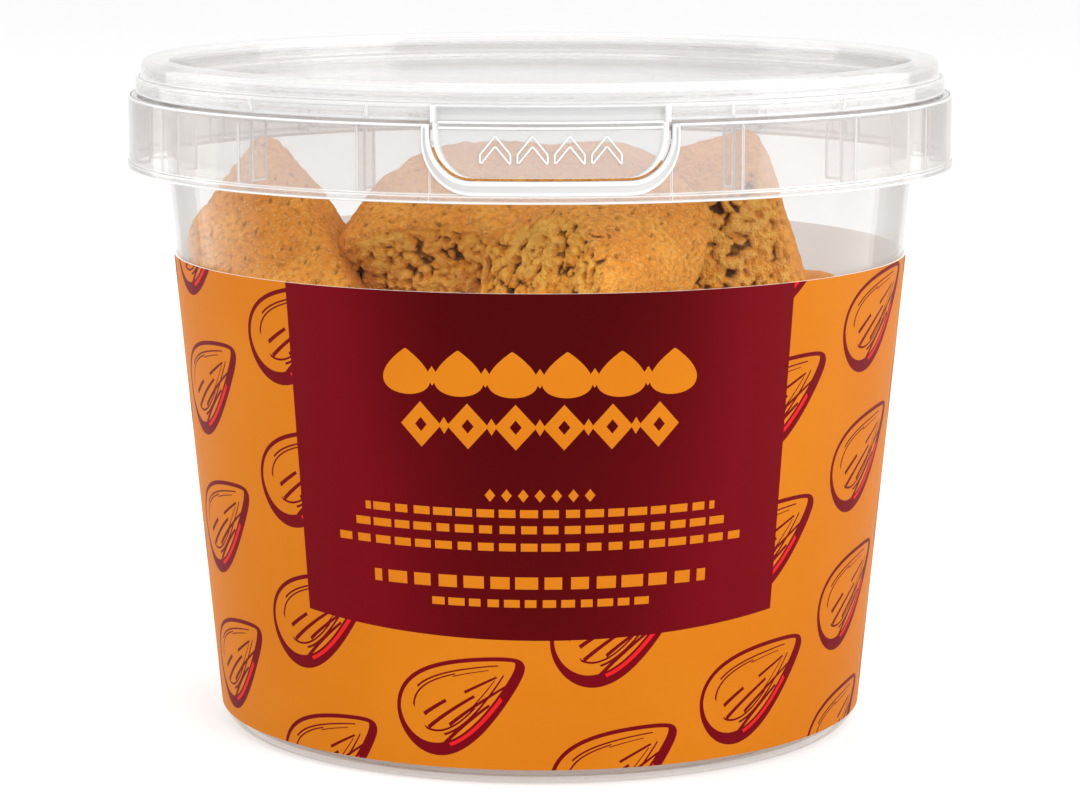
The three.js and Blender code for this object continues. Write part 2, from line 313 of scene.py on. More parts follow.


# %% [markdown]
# ## Clear plastic
#
# Thin clear plastic hardly bends what is seen through it. It lets most light straight through, gives
# back a little as gloss, and the more so the flatter one looks along it. Real glass shading would
# trace every bend and would leave the biscotti in noise, because lamps reach them only through the
# wall. So the plastic is a mix: a see-through shader, and a pale glossy one whose share grows by the
# Fresnel law. Moulded plastic is a little milky, which is the share that is there even face on. Its
# sharp bends get more of a pale grey colour, a painted reflection for the many reflections that
# come together in them.
#
# A piece has an outer and an inner surface, so light from behind the tub passes many of them, and the
# tints are those of a single one. The cup mirrors less face on than real plastic does, so that the
# biscotti keep their full colours behind it.

# %% Clear plastic

GLASSY, GREYISH = (0.950, 0.947, 0.945), (0.918, 0.911, 0.907)  # what one surface lets through, face on
SIDE_TINT = (0.80, 0.785, 0.77)  # and what it lets through when it is looked along
SMOKY, WHITE = (0.70, 0.67, 0.65), (0.96, 0.955, 0.95)  # tints of the reflections along a surface
BEND_PAINTED_REFLECTION = (0.66, 0.66, 0.66)  # a painted reflection: the colour that the plastic takes on at a sharp bend
SCHLICK, DIMMING = 5.0, 3.0  # the powers by which mirroring and dimming grow towards the side
FULLEST = 0.95  # the largest share of the plastic's own colour and its painted bend reflection together
WAVES, WAVE_DEPTH = 9.0, 0.02  # width and depth of the slow waves in a moulded wall


def clear_plastic(name, milk, edge, pale, gloss, shine=0.04, tint=GLASSY, grazing=SMOKY):
    """See-through plastic. milk is the share of its own pale colour seen face on, and edge what sharp
    bends add to it, a painted reflection in the bend colour. The mirror's share is Schlick's rule: a few
    hundredths face on (shine), and the rest by the fifth power of how far the surface turns away.
    Metallic is the mirror's part of the share, and grazing the tint that flat reflections take on their
    way through the plastic."""
    finish = Finish(name)
    waves = finish.noise(finish.place(), WAVES, detail=1.0)
    bend = finish.attribute("bend")
    side = finish.node("ShaderNodeLayerWeight", {}, {"Blend": 0.5}, output=1)
    mirror = side ** SCHLICK * (1 - shine) + shine
    # The bends' share, edge times bend, is a painted reflection; milk is the plastic's own milkiness.
    body = (bend * edge + milk).least(FULLEST)
    share = mirror + (1 - mirror) * body
    clear, dim = (
        finish.node("ShaderNodeBsdfTransparent", {}, {"Color": (*each, 1.0)})
        for each in (tint, SIDE_TINT)
    )
    through = finish.node("ShaderNodeMixShader", {}, {0: side ** DIMMING, 1: clear, 2: dim})
    metal = mirror / share
    # At sharp bends the colour goes to the bend grey: a painted reflection.
    pale_with_painted_bends = finish.mix(bend, pale, BEND_PAINTED_REFLECTION)
    gleam = finish.mix(side, (1.0, 1.0, 1.0), grazing)
    shell = finish.principled(
        Base_Color=finish.mix(metal, pale_with_painted_bends, gleam),
        Metallic=metal,
        Roughness=gloss,
        Normal=finish.bump(waves, WAVE_DEPTH),
    )
    return finish.show(finish.node("ShaderNodeMixShader", {}, {0: share, 1: through, 2: shell}))


cup_plastic = clear_plastic(
    "cup plastic", milk=0.002, edge=0.6, pale=(0.70, 0.68, 0.67), gloss=0.04, shine=0.004)
skirt_plastic = clear_plastic(
    "skirt plastic", milk=0.18, edge=0.9, pale=(0.66, 0.635, 0.615), gloss=0.09, tint=GREYISH)
frame_plastic = clear_plastic("frame plastic", milk=0.32, edge=0.9, pale=(0.93, 0.93, 0.93), gloss=0.09)
rib_plastic = clear_plastic("rib plastic", milk=0.03, edge=0.9, pale=(0.90, 0.90, 0.90), gloss=0.09)
lid_plastic = clear_plastic(
    "lid plastic", milk=0.14, edge=0.50, pale=(0.96, 0.98, 1.00), gloss=0.09, grazing=WHITE)
tab_plastic = clear_plastic("tab plastic", milk=0.26, edge=0.9, pale=(0.56, 0.57, 0.57), gloss=0.20)
print("clear plastics:", sum("plastic" in each.name for each in bpy.data.materials))

# %% [markdown]
# ## Turned pieces
#
# The tub and the lid are round, so they are profiles turned about the upright axis, as on a lathe. A
# profile is drawn by its corners, each with the radius that rounds it off. A moulded part has no sharp
# corner, and the roundings are what catches the light. Short guard steps beside each rounding keep the
# smooth shading of the flat stretches flat.

# %% Profiles and turning

SIDES = 192  # columns round a turned piece
ROUND_STEP = 0.12  # from point to point along a rounding
MOST_OF_LINE = 0.49  # a rounding takes less than half of the shorter line beside it


def rounded(corners, guard=0.35):
    """A profile through corners of (r, z, rounding). Each corner gives way to an arc that touches both
    its lines; its middle lies on the line that halves the corner, and its points turn about it."""
    spots = np.array([c[:2] for c in corners], float)
    points = [spots[:1]]
    for i in range(1, len(spots) - 1):
        before, here, after = spots[i - 1], spots[i], spots[i + 1]
        back, on = before - here, after - here
        reach_back, reach_on = np.linalg.norm(back), np.linalg.norm(on)
        back, on = back / reach_back, on / reach_on
        half = math.acos(np.clip(back @ on, -1, 1)) / 2
        radius = min(corners[i][2], MOST_OF_LINE * min(reach_back, reach_on) * math.tan(half))
        away = radius / math.tan(half)
        middle = here + (back + on) / np.linalg.norm(back + on) * radius / math.sin(half)
        start, end = here + back * away - middle, here + on * away - middle
        turn = math.atan2(start[0] * end[1] - start[1] * end[0], start @ end)
        steps = max(3, math.ceil(abs(turn) * radius / ROUND_STEP))
        angles = turn * np.linspace(0, 1, steps + 1)[:, None]
        across = np.array([-start[1], start[0]])
        arc = middle + start * np.cos(angles) + across * np.sin(angles)
        room_back, room_on = (min(guard, 0.3 * (r - away)) for r in (reach_back, reach_on))
        points += [arc[:1] + back * room_back, arc, arc[-1:] + on * room_on]
    return np.vstack([*points, spots[-1:]])


def around(angle, r, z):
    """The point at an angle from the front, counted towards the right, at a radius and a height."""
    return np.stack(np.broadcast_arrays(r * np.sin(angle), -r * np.cos(angle), z), -1)


def turned(profile, sides=SIDES):
    """Carries a profile round the axis: rows follow the profile, columns follow the angle."""
    angles = np.linspace(0, 2 * np.pi, sides, endpoint=False)
    points = around(angles[None, :], profile[:, :1], profile[:, 1:])
    return points, grid_faces(len(profile), sides, close_columns=True)


print("a corner of 90 degrees gets", len(rounded([(0, 0, 0), (1, 0, 0.3), (1, 1, 0)])), "points")

# %% [markdown]
# ## The tub
#
# The cup is one profile that starts on the axis under the base, goes out over the foot ring, up the
# outer side of the wall, round the rim and down the inner side again. A flat flange near the top is
# the web that carries the skirt. One closed profile makes a wall with a true thickness, so its edges
# show as they do on real plastic.

# %% The cup

FOOT_IN, FOOT_CORNER = 45.7, 2.4
BASE_LIFT, BASE = 1.2, 0.8  # the middle of the base is raised, and this thick
SKIRT_IN, SKIRT_OUT = BEAD_R - 1.05, BEAD_R - 0.25
SKIRT_LOW, SKIRT_TOP = 90.6, 102.2
WEB = 0.8
RIM_R = 62.6


def cup_profile():
    """Corners of (radius, height, rounding), from the axis under the base to the axis above it."""
    web_low = SKIRT_TOP - WEB
    inner_low = BASE + 0.1
    return rounded([
        (0, BASE_LIFT, 0),
        (FOOT_IN - 0.9, BASE_LIFT, 0.6),
        (FOOT_IN, 0, 0.5),
        (wall_out(0), 0, FOOT_CORNER),
        (wall_out(web_low), web_low, 0.5),
        (SKIRT_IN + 0.1, web_low, 0),
        (SKIRT_IN + 0.1, SKIRT_TOP, 0.3),
        (wall_out(SKIRT_TOP), SKIRT_TOP, 0.5),
        (wall_out(RIM_TOP - 1.4), RIM_TOP - 1.4, 0.4),
        (RIM_R, RIM_TOP - 1.1, 0.3),
        (RIM_R, RIM_TOP, 0.4),
        (wall_in(RIM_TOP), RIM_TOP, 0.3),
        (wall_in(inner_low), inner_low, FOOT_CORNER - 0.3),
        (FOOT_IN - 0.4, inner_low, 0.5),
        (FOOT_IN - 1.4, BASE_LIFT + BASE, 0.6),
        (0, BASE_LIFT + BASE, 0),
    ])


make_piece("tub_cup", *turned(cup_profile()), "clear_tub", "tub", cup_plastic)

# %% [markdown]
# ## The skirt and its window
#
# The skirt is a band round the rim. In front a U-shaped window is cut into it, which holds the pull
# tab. A cut could be made with a Boolean, but the band is simpler than that: its lower edge is level,
# and only its upper edge changes. So the band is a profile carried round the axis whose top follows an
# outline: level round the tub, and down and up again along the U.
#
# The outline of a U is a half width and a low edge joined by a quarter of an ellipse. The same
# function draws the window, the raised frame round it and the tab that lies in it.

# %% The outline of a U

WINDOW = {"half": 17.7, "low": 94.0, "corner": (6.0, 6.6)}
FRAME = {"half": 18.9, "low": 91.7, "corner": (7.4, 8.0)}


def u_outline(shape, top, steps=14):
    """Points (x, z) down the left side of a U, along its bottom and up its right side. Each lower
    corner is a quarter of an ellipse: sine and cosine of an angle from 0 to 90 degrees, scaled."""
    half, low, (wide, high) = shape["half"], shape["low"], shape["corner"]
    turn = np.linspace(0, np.pi / 2, steps)
    corner = np.stack([half - wide + wide * np.sin(turn), low + high - high * np.cos(turn)], -1)
    side = np.stack([np.full(4, half), np.linspace(low + high, top, 5)[1:]], -1)
    bottom = np.stack([np.linspace(0, half - wide, 9)[:-1], np.full(8, low)], -1)
    right = np.vstack([bottom, corner, side])
    return np.vstack([right[:0:-1] * (-1, 1), right])


def front_angle(x, r):
    """The angle round the axis of a point x to the side of the tab's middle."""
    return TAB_TURN + np.arcsin(x / r)


outline = u_outline(WINDOW, SKIRT_TOP)
print("the window's outline has", len(outline), "points")

# %% The skirt

SKIRT_COLUMNS = 168
SEAM = 0.0015  # the angle between the window's edge and the first column beside it
GUARD_UP = 2.4  # above the bead the band is plain


def skirt():
    """Columns: round the tub from the window's right edge to its left edge, then along the window's
    outline. Rows: the closed profile of the band, whose upper points hang from the top there."""
    edge = front_angle(WINDOW["half"], SKIRT_OUT)
    last = 2 * np.pi + 2 * TAB_TURN - edge
    half_turns = np.linspace(edge + SEAM, last - SEAM, SKIRT_COLUMNS)
    window = u_outline(WINDOW, SKIRT_TOP - 0.05)
    angles = np.concatenate([half_turns, front_angle(window[:, 0], SKIRT_OUT) + 2 * np.pi])
    tops = np.concatenate([np.full(len(half_turns), SKIRT_TOP), window[:, 1]])
    low = rounded([
        (SKIRT_IN, SKIRT_LOW + GUARD_UP, 0),
        (SKIRT_IN, SKIRT_LOW, 0.25),
        (BEAD_R, SKIRT_LOW, 0.35),
        (BEAD_R, SKIRT_LOW + 1.1, 0.4),
        (SKIRT_OUT, SKIRT_LOW + 1.4, 0.3),
        (SKIRT_OUT, SKIRT_LOW + GUARD_UP, 0),
    ])
    high = rounded([
        (SKIRT_OUT, -0.9, 0),
        (SKIRT_OUT, 0, 0.3),
        (SKIRT_IN, 0, 0.3),
        (SKIRT_IN, -0.9, 0),
    ])
    radii = np.concatenate([low[:, 0], high[:, 0]])
    heights = np.vstack([
        np.broadcast_to(low[:, 1:], (len(low), len(tops))),
        high[:, 1:] + tops[None, :],
    ])
    points = around(angles[None, :], radii[:, None], heights)
    return points, grid_faces(*points.shape[:2], close_rows=True, close_columns=True)


make_piece("tub_skirt", *skirt(), "clear_tub", "tub", skirt_plastic)

# %% [markdown]
# ## The frame of the window
#
# A raised bead runs round the U. It is wider below than at its sides, because it fills the space
# between two outlines. So its surface is a blend: at each step along the U one point lies on the
# window's outline and one on the frame's, and between them the radius swells outwards like an arch.

# %% The window's frame

FRAME_RISE, FRAME_SEAT = 0.55, 0.1  # how far the bead stands out, and how deep it sits in the skirt
END_SHRINK = 0.15  # how far its two ends are drawn in


def window_frame():
    """Columns follow the U; rows go across from the outer outline to the inner one over an arched
    front, then back along a level inner side."""
    inside, outside = u_outline(WINDOW, SKIRT_TOP), u_outline(FRAME, SKIRT_TOP)
    share = np.linspace(0, 1, 13)[:, None]
    arch = (1 - (2 * share - 1) ** 4) ** 0.5
    front_r = SKIRT_OUT - FRAME_SEAT + FRAME_RISE * arch
    across = inside[None] * share[..., None] + outside[None] * (1 - share[..., None])
    front = around(front_angle(across[..., 0], SKIRT_OUT), front_r, across[..., 1])
    back = across[::-1][[0, -1]]
    rear = around(front_angle(back[..., 0], SKIRT_OUT), SKIRT_IN + FRAME_SEAT, back[..., 1])
    points = np.concatenate([front, rear])
    middle = points.mean(axis=0, keepdims=True)
    points[:, [0, -1]] += (middle[:, [0, -1]] - points[:, [0, -1]]) * END_SHRINK
    ends = [np.repeat(middle[:, end], len(points), axis=0)[:, None] for end in (0, -1)]
    points = np.concatenate([ends[0], points, ends[1]], axis=1)
    return points, grid_faces(*points.shape[:2], close_rows=True)


make_piece("tub_window_frame", *window_frame(), "clear_tub", "tub", frame_plastic)

# %% [markdown]
# ## Ribs and stubs
#
# Inside the skirt thin ribs stand like spokes, and two small stubs tie the tab to the frame until it is
# first pulled. Both are small blocks with rounded edges. One formula makes such a block: each point of
# a cube is drawn in along the line to the middle until the sum of its coordinates to a high power is
# one. A power of two would give a ball, and a large one gives a box with soft edges.

# %% Rounded blocks


def cube_grid(counts):
    """The six sides of a cube from -1 to 1 as grids, with their shared edges merged."""
    points, faces, start = [], [], 0
    for axis, side in itertools.product(range(3), (-1, 1)):
        rows, columns = counts[(axis + 1) % 3], counts[(axis + 2) % 3]
        a, b = np.meshgrid(np.linspace(-1, 1, rows + 1), np.linspace(-1, 1, columns + 1), indexing="ij")
        sheet = np.empty((*a.shape, 3))
        sheet[..., axis], sheet[..., (axis + 1) % 3], sheet[..., (axis + 2) % 3] = side, a, b
        quads = grid_faces(*a.shape) + start
        points.append(sheet.reshape(-1, 3))
        faces.append(quads[:, ::-1] if side > 0 else quads)
        start += a.size
    spots, faces, _ = merged(np.vstack(points), np.vstack(faces), digits=6)
    return spots, faces


def drawn_in(cube, power):
    """Each point of the cube, moved towards the middle until its coordinates' powers sum to one."""
    return cube * (np.abs(cube) ** power).sum(axis=1, keepdims=True) ** (-1 / power)


def blocks(boxes, power=8, counts=(3, 3, 5)):
    """Many small blocks in one mesh. Each box is its middle (angle, radius, height), its size (along
    the radius, across, up) and how far its top leans to the side for each millimetre of height."""
    cube, faces = cube_grid(counts)
    shape = drawn_in(cube, power) / 2
    points = []
    for (angle, r, z), (deep, wide, tall), lean in boxes:
        side = shape[:, 1] * wide + lean * shape[:, 2] * tall
        points.append(around(angle + side / r, r + shape[:, 0] * deep, z + shape[:, 2] * tall))
    steps = np.arange(len(boxes))[:, None, None] * len(cube)
    return np.vstack(points), (faces[None] + steps).reshape(-1, 4)


# %% Ribs and stubs

RIBS = 17
RIB_FIRST = math.radians(25.6)  # from the middle of the tab
RIB = 0.45
RIB_LOW, RIB_NOTCH = 91.3, 0.7  # the inner half of a rib ends higher by the notch
STUB, STUB_Z = (0.5, 1.5, 0.7), 99.55


def ribs():
    """Each rib is two blocks side by side, the outer one a little lower."""
    boxes, top = [], SKIRT_TOP - WEB / 2
    middle = (wall_out(RIB_LOW) + SKIRT_IN) / 2
    spans = [
        (wall_out(RIB_LOW) - WALL / 2, middle + 0.1, RIB_LOW + RIB_NOTCH),
        (middle, SKIRT_IN + 0.3, RIB_LOW),
    ]
    angles = np.linspace(RIB_FIRST, 2 * np.pi - RIB_FIRST, RIBS) + TAB_TURN
    for angle, (inner, outer, low) in itertools.product(angles, spans):
        spot, size = (angle, (inner + outer) / 2, (low + top) / 2), (outer - inner, RIB, top - low)
        boxes.append((spot, size, 0))
    return boxes


def stubs():
    """A stub at each side of the tab, between its edge and the window's."""
    place = (WINDOW["half"] - 0.5, SKIRT_OUT - 0.4)
    sides = [front_angle(side * place[0], SKIRT_OUT) for side in (-1, 1)]
    return [((angle, place[1], STUB_Z), STUB, 0) for angle in sides]


rib_blocks = blocks(ribs(), power=20, counts=(10, 4, 24))
make_piece("tub_ribs", *rib_blocks, "clear_tub", "tub", rib_plastic)
make_piece("tub_stubs", *blocks(stubs()), "clear_tub", "tub", skirt_plastic)

# %% [markdown]
# ## The lid
#
# The lid is another turned profile: a flat panel that lies low inside the rim, a channel that grips
# the rim of the tub, and two steps on its outer side, each with its own rounding.

# %% The lid's shell

LID_R, LID_LOWER_R = 64.15, 65.1
LID_STEP, LID_LOW = 105.0, SKIRT_TOP + 0.3
PANEL_TOP, PANEL = 104.1, 0.8
PLUG_R = 60.3


def lid_profile():
    """Corners of (radius, height, rounding): from the axis along the panel's inner side, through the
    channel that grips the rim, down to the lid's edge, up over its two steps and back over the panel."""
    channel_top, channel_r = LID_TOP - 0.8, RIM_R + 0.75
    return rounded([
        (0, PANEL_TOP - PANEL, 0),
        (PLUG_R - 2.6, PANEL_TOP - PANEL, 0.6),
        (PLUG_R - 0.7, PANEL_TOP - PANEL - 0.4, 0.5),
        (PLUG_R, PANEL_TOP - PANEL + 0.5, 0.4),
        (PLUG_R, channel_top, 0.7),
        (channel_r, channel_top, 0.7),
        (channel_r, LID_STEP - 0.6, 0.3),
        (LID_LOWER_R - 0.8, LID_STEP - 0.8, 0.3),
        (LID_LOWER_R - 0.8, LID_LOW, 0.25),
        (LID_LOWER_R, LID_LOW, 0.3),
        (LID_LOWER_R, LID_STEP, 0.8),
        (LID_R, LID_STEP + 0.2, 0.3),
        (LID_R, LID_TOP, 1.2),
        (PLUG_R - 0.5, LID_TOP, 0.9),
        (PLUG_R - 1.3, PANEL_TOP, 1.3),
        (0, PANEL_TOP, 0),
    ])


make_piece("lid_shell", *turned(lid_profile()), "clear_lid", "lid", lid_plastic)

# %% [markdown]
# ## The pull tab
#
# The tab is a tongue of the lid that hangs into the window of the skirt. Its width at a height is the
# width of a U there, and above the skirt it spreads to small ears. Rows go up the tongue; columns go
# once round its section, across the front, over a rounded edge, back along the rear and over the
# other edge. The first and the last row shrink to a line, which closes it.

# %% The pull tab

TONGUE = {"half": 17.25, "low": 94.4, "corner": (5.7, 6.3)}
TONGUE_TOP, TONGUE_R, TONGUE_THICK = LID_STEP, 66.2, 0.6
EAR_LOW, EAR_HALF = 102.4, 17.6
TONGUE_SPAN, TONGUE_ROUND = 0.98, 0.018  # the flat share of its width, and how far its edges bulge
END_SPAN = 0.97  # the line that closes it below and above, as a share of its width


def tongue_half_width(z):
    """Half the tongue's width: an ellipse's quarter at the corners, level above, wider at the ears."""
    wide, high = TONGUE["corner"]
    drop = np.clip((TONGUE["low"] + high - z) / high, 0, 1)
    corner = TONGUE["half"] - wide * (1 - np.sqrt(1 - drop ** 2))
    return np.where(z < EAR_LOW, corner, EAR_HALF)


def tongue():
    """Rows are heights up the tongue. Columns run round its section, in shares of the half width and of
    the thickness: the front from left to right, the right edge, the rear and the left edge."""
    rise = np.concatenate([
        TONGUE["low"] + TONGUE["corner"][1] * (1 - np.cos(np.linspace(0, np.pi / 2, 16))),
        [101.3, 102.0, EAR_LOW - 0.02, EAR_LOW + 0.02, 103.0, 103.9, TONGUE_TOP - 0.3, TONGUE_TOP],
    ])
    edge = np.linspace(-np.pi / 2, np.pi / 2, 7)[1:-1]
    right = np.stack([1 + TONGUE_ROUND * (np.cos(edge) - 1), 0.5 * np.sin(edge)], -1)
    span = np.linspace(-TONGUE_SPAN, TONGUE_SPAN, 41)
    front = np.stack([span, np.full(len(span), -0.5)], -1)
    section = np.vstack([front, right, -front[:, :1] * (1, 0) + front * (0, -1), right * (-1, -1)])
    reach, depth = section.T
    half = tongue_half_width(rise)[:, None]
    thick = np.full((len(rise), 1), TONGUE_THICK)
    inner = np.where(rise > EAR_LOW + 1, LID_LOWER_R - 0.4, TONGUE_R - TONGUE_THICK)[:, None]
    radius = np.where(depth < 0, TONGUE_R, inner) + thick * np.where(np.abs(depth) < 0.5, depth * 0.3, 0)
    points = around(front_angle(reach * half, TONGUE_R), radius, rise[:, None])
    ends = front_angle(reach * half[[0, -1]] * END_SPAN, TONGUE_R)
    flat = around(ends, TONGUE_R - TONGUE_THICK / 2, rise[[0, -1], None])
    points = np.concatenate([flat[:1], points, flat[1:]])
    return points, grid_faces(*points.shape[:2], close_columns=True)


make_piece("lid_tab", *tongue(), "clear_lid", "lid", tab_plastic)

# %% [markdown]
# ## Beads along a line
#
# Raised lines on the tab, such as its lift marks and the two fold lines, are thin half-round beads. A
# circle is carried along a path that lies on the face of the tab. At each point of the path one
# direction lies in the face, across the path, and the other points straight out.

# %% Beads on the tab


def bead(path, radius, r, sides=8):
    """A round bead along a path of (x, z) on a cylinder of radius r about the axis. Both ends shrink
    to a point. Rows follow the path, and columns go round the bead."""
    path = np.asarray(path, float)
    along = np.gradient(path, axis=0)
    along /= np.linalg.norm(along, axis=1, keepdims=True)
    normal = np.stack([-along[:, 1], along[:, 0]], -1)
    turn = np.linspace(0, 2 * np.pi, sides, endpoint=False)[None, :]
    fat = np.full(len(path), radius)
    fat[[0, -1]] = 0
    side = fat[:, None] * np.cos(turn)
    spots = path[:, None] + normal[:, None] * side[..., None]
    out = r + fat[:, None] * np.sin(turn)
    points = around(front_angle(spots[..., 0], r), out, spots[..., 1])
    return points, grid_faces(*points.shape[:2], close_columns=True)


def along_line(corners, step=0.35):
    """Points every so often along straight lines through the corners."""
    corners = np.asarray(corners, float)
    lengths = np.concatenate([[0], np.linalg.norm(np.diff(corners, axis=0), axis=1).cumsum()])
    spots = np.linspace(0, lengths[-1], max(3, round(lengths[-1] / step)))
    return np.stack([np.interp(spots, lengths, corners[:, k]) for k in (0, 1)], -1)


def joined(grids):
    """Several grids as one set of points and faces."""
    starts = np.cumsum([0] + [points.reshape(-1, 3).shape[0] for points, _ in grids[:-1]])
    points = np.vstack([points.reshape(-1, 3) for points, _ in grids])
    return points, np.vstack([faces + start for (_, faces), start in zip(grids, starts)])


MARKS, MARK_PITCH, MARK_LOW, MARK_WIDE, MARK_HIGH = 4, 5.4, 96.4, 4.4, 4.2
MARK_STROKE, MARK_BEAD = 1.5, 0.15
FOLD_LINES, FOLD_BEAD = (101.7, 102.5), 0.22


def tab_marks():
    """A row of open chevrons that point up, each drawn as the outline of its stroke, and the folds."""
    beads = []
    for i in range(MARKS):
        x = (i - (MARKS - 1) / 2) * MARK_PITCH
        left, right, low, peak = x - MARK_WIDE / 2, x + MARK_WIDE / 2, MARK_LOW, MARK_LOW + MARK_HIGH
        chevron = [(left, low), (x, peak - MARK_STROKE), (right, low), (right, low + MARK_STROKE),
                   (x, peak), (left, low + MARK_STROKE), (left, low)]
        beads.append(bead(along_line(chevron), MARK_BEAD, TONGUE_R + 0.02))
    reach = TONGUE["half"] - 0.6
    for z in FOLD_LINES:
        beads.append(bead(along_line([(-reach, z), (reach, z)]), FOLD_BEAD, TONGUE_R))
    return joined(beads)


make_piece("lid_tab_marks", *tab_marks(), "clear_lid", "lid", skirt_plastic)

# %% [markdown]
# ## Ticks on the lid's lower step
#
# Small slanted lugs on the lower step of the lid show where it clips over the tub.

# %% Lid ticks

TICKS = [(24.4, 0.0), (43.0, 0.35), (90.0, 0.0), (137.0, -0.35)]  # degrees from the tab, and lean
TICK_DEEP, TICK_WIDE = 0.4, 0.5


def ticks():
    """The same lugs to the left and to the right of the tab."""
    boxes = []
    for side, (angle, lean) in itertools.product((-1, 1), TICKS):
        spot = (TAB_TURN + side * math.radians(angle), LID_LOWER_R - 0.05, (LID_LOW + LID_STEP) / 2)
        boxes.append((spot, (TICK_DEEP, TICK_WIDE, LID_STEP - LID_LOW - 0.5), side * lean))
    return boxes


make_piece("lid_ticks", *blocks(ticks()), "clear_lid", "lid", lid_plastic)

# %% [markdown]
# ## The label's print
#
# The print is drawn by formulas, so it is sharp at any size. Two numbers say where a point of the
# label is: how far round it lies and how high, both in millimetres. A field of orange carries rows of
# drop-shaped kernels, and in front lies a dark panel with plain ornament in the ground's orange.
#
# A kernel is an egg outline that comes to a soft point: the square of the half width is one minus the
# square of the length, narrowed towards one end. Where the formula gives zero is the outline. Its
# value divided by how fast it changes is nearly the distance to the outline, so a line of even width
# can be drawn along it.

# %% Colours and layout of the print

ORANGE, ORANGE_DEEP = (0.500, 0.158, 0.0075), (0.445, 0.121, 0.005)
# The second maroon is the panel's painted shade: darker than the print's maroon, as where less light
# falls.
MAROON, MAROON_IN_PAINTED_SHADE = (0.125, 0.0016, 0.0052), (0.051, 0.0006, 0.0010)
RED = (0.55, 0.012, 0.012)
COLUMNS = 14  # kernels round the tub
ROUND_MM = 351.0  # length round the middle of the label
PITCH_ROUND, PITCH_UP = ROUND_MM / COLUMNS, 22.4
KERNEL = {"long": 11.2, "wide": 6.1, "narrow": 0.5, "turn": math.radians(30)}
LINE = 0.33  # half the width of a drawn line
LEAST_NECK, LEAST_SLOPE = 0.2, 0.02  # limits that keep the divisions below from running away
CONTOURS = ((1.2, 0.10, 0.60), (2.2, -0.30, 0.40), (3.0, 0.30, 0.25))  # depth, middle and half length
HATCHES = ((-0.58, -0.15, 0.45), (-0.36, 0.14, 0.50), (-0.12, -0.24, 0.42), (0.10, 0.34, 0.26),
           (0.14, -0.42, 0.20))  # seat across the kernel, middle and half length
THINNER = 0.75  # the lines inside a kernel against its outline
INNER_SHRINK, INNER_SHIFT = (1.07, 1.16), (0.1, -1.0)  # the crescent's inner edge, along and across
RED_FROM, RED_TO, RED_REACH = 0.4, 1.0, 0.5  # where the red light lies in the crescent
PANEL_HALF = math.radians(40.5)
PANEL_LOW, PANEL_SAG = 23.3, 2.3


def shape_distance(x, y):
    """About how far a point is outside a kernel's outline, in millimetres; negative inside it."""
    long, wide, narrow = KERNEL["long"], KERNEL["wide"], KERNEL["narrow"]
    u = x / long
    neck = (1 - narrow * u).most(LEAST_NECK)
    v = y / wide / neck
    value = u * u + v * v - 1
    slope_x = (u + v * v * narrow / neck) * (2 / long)
    slope_y = v * 2 / wide / neck
    slope = (slope_x * slope_x + slope_y * slope_y).root()
    return value / slope.most(LEAST_SLOPE), v, u


def kernels(round_mm, up_mm):
    """Masks of the kernels' dark lines, of their dark crescent and of the red light on it."""
    column = (round_mm / PITCH_ROUND).floor()
    x = (round_mm / PITCH_ROUND).part() * PITCH_ROUND - PITCH_ROUND / 2
    shift = (column * 0.5).part() * PITCH_UP
    y = ((up_mm + shift) / PITCH_UP).part() * PITCH_UP - PITCH_UP / 2
    c, s = math.cos(KERNEL["turn"]), math.sin(KERNEL["turn"])
    along, across = x * c + y * s, y * c - x * s
    far, v, u = shape_distance(along, across)
    inner, _, _ = shape_distance(
        along * INNER_SHRINK[0] + INNER_SHIFT[0], across * INNER_SHRINK[1] + INNER_SHIFT[1])
    drawn = far.size().below(LINE)
    inside = far.below(0)
    crescent = inside * inner.above(0.0)
    glow = inside * inner.above(RED_FROM) * inner.below(RED_TO) * u.size().below(RED_REACH)
    for depth, middle, reach in CONTOURS:
        line = (inner + depth + (v + 1) * 0.5).size().below(LINE * THINNER)
        drawn = drawn.most(line * (u - middle).size().below(reach) * v.above(-0.75))
    for seat, middle, reach in HATCHES:
        line = (v - seat + u * u * 0.14).size().below(LINE / KERNEL["wide"] * THINNER)
        drawn = drawn.most(line * (u - middle).size().below(reach))
    return drawn.most(crescent), glow


# %% [markdown]
# The panel's ornament stands where a pack has its name and its small print: a row of bold drops and
# one of open diamonds, both with small diamonds between, a short row of small diamonds, three fine
# rows of dashes whose lengths are drawn at random, and two more rows of dashes, the upper one bolder.
# Each row is one repeated shape: the distance round the tub is cut into equal steps, and the shape is
# drawn in the middle of each.

# %% The panel's ornament


def row(side_mm, up_mm, count, pitch, middle, draw_shape):
    """A row of equal shapes about the front. draw_shape takes a point's place in its own step."""
    x = (side_mm / pitch + count / 2).part() * pitch - pitch / 2
    within = side_mm.size().below(count * pitch / 2)
    return draw_shape(x, up_mm - middle) * within


def diamond(half_wide, half_high):
    return lambda x, y: (x.size() / half_wide + y.size() / half_high).below(1)


def drop(half_wide, half_high):
    """A drop that stands on its round end: its half width shrinks with height."""
    return lambda x, y: (
        x * x / half_wide ** 2 / (1.05 - y / half_high).most(LEAST_SLOPE) + y * y / half_high ** 2
    ).below(1)


def ring_of(shape, inner):
    return lambda x, y: shape(x, y) * (1 - inner(x, y))


DASH, DASH_MORE = 0.3, 0.16  # half a dash, as a share of its step, and how much it may be longer


def dashes(finish, side_mm, up_mm, half_row, middle, half_high, pitch, seed):
    """Dashes of uneven length: each step has a random number, which sets how long its dash is."""
    step = (side_mm / pitch).floor()
    chance = finish.node("ShaderNodeTexWhiteNoise", {"noise_dimensions": "1D"}, {"W": step + seed})
    x = ((side_mm / pitch).part() - 0.5).size()
    dash = x.below(chance * DASH_MORE + DASH) * (up_mm - middle).size().below(half_high)
    return dash * side_mm.size().below(half_row)


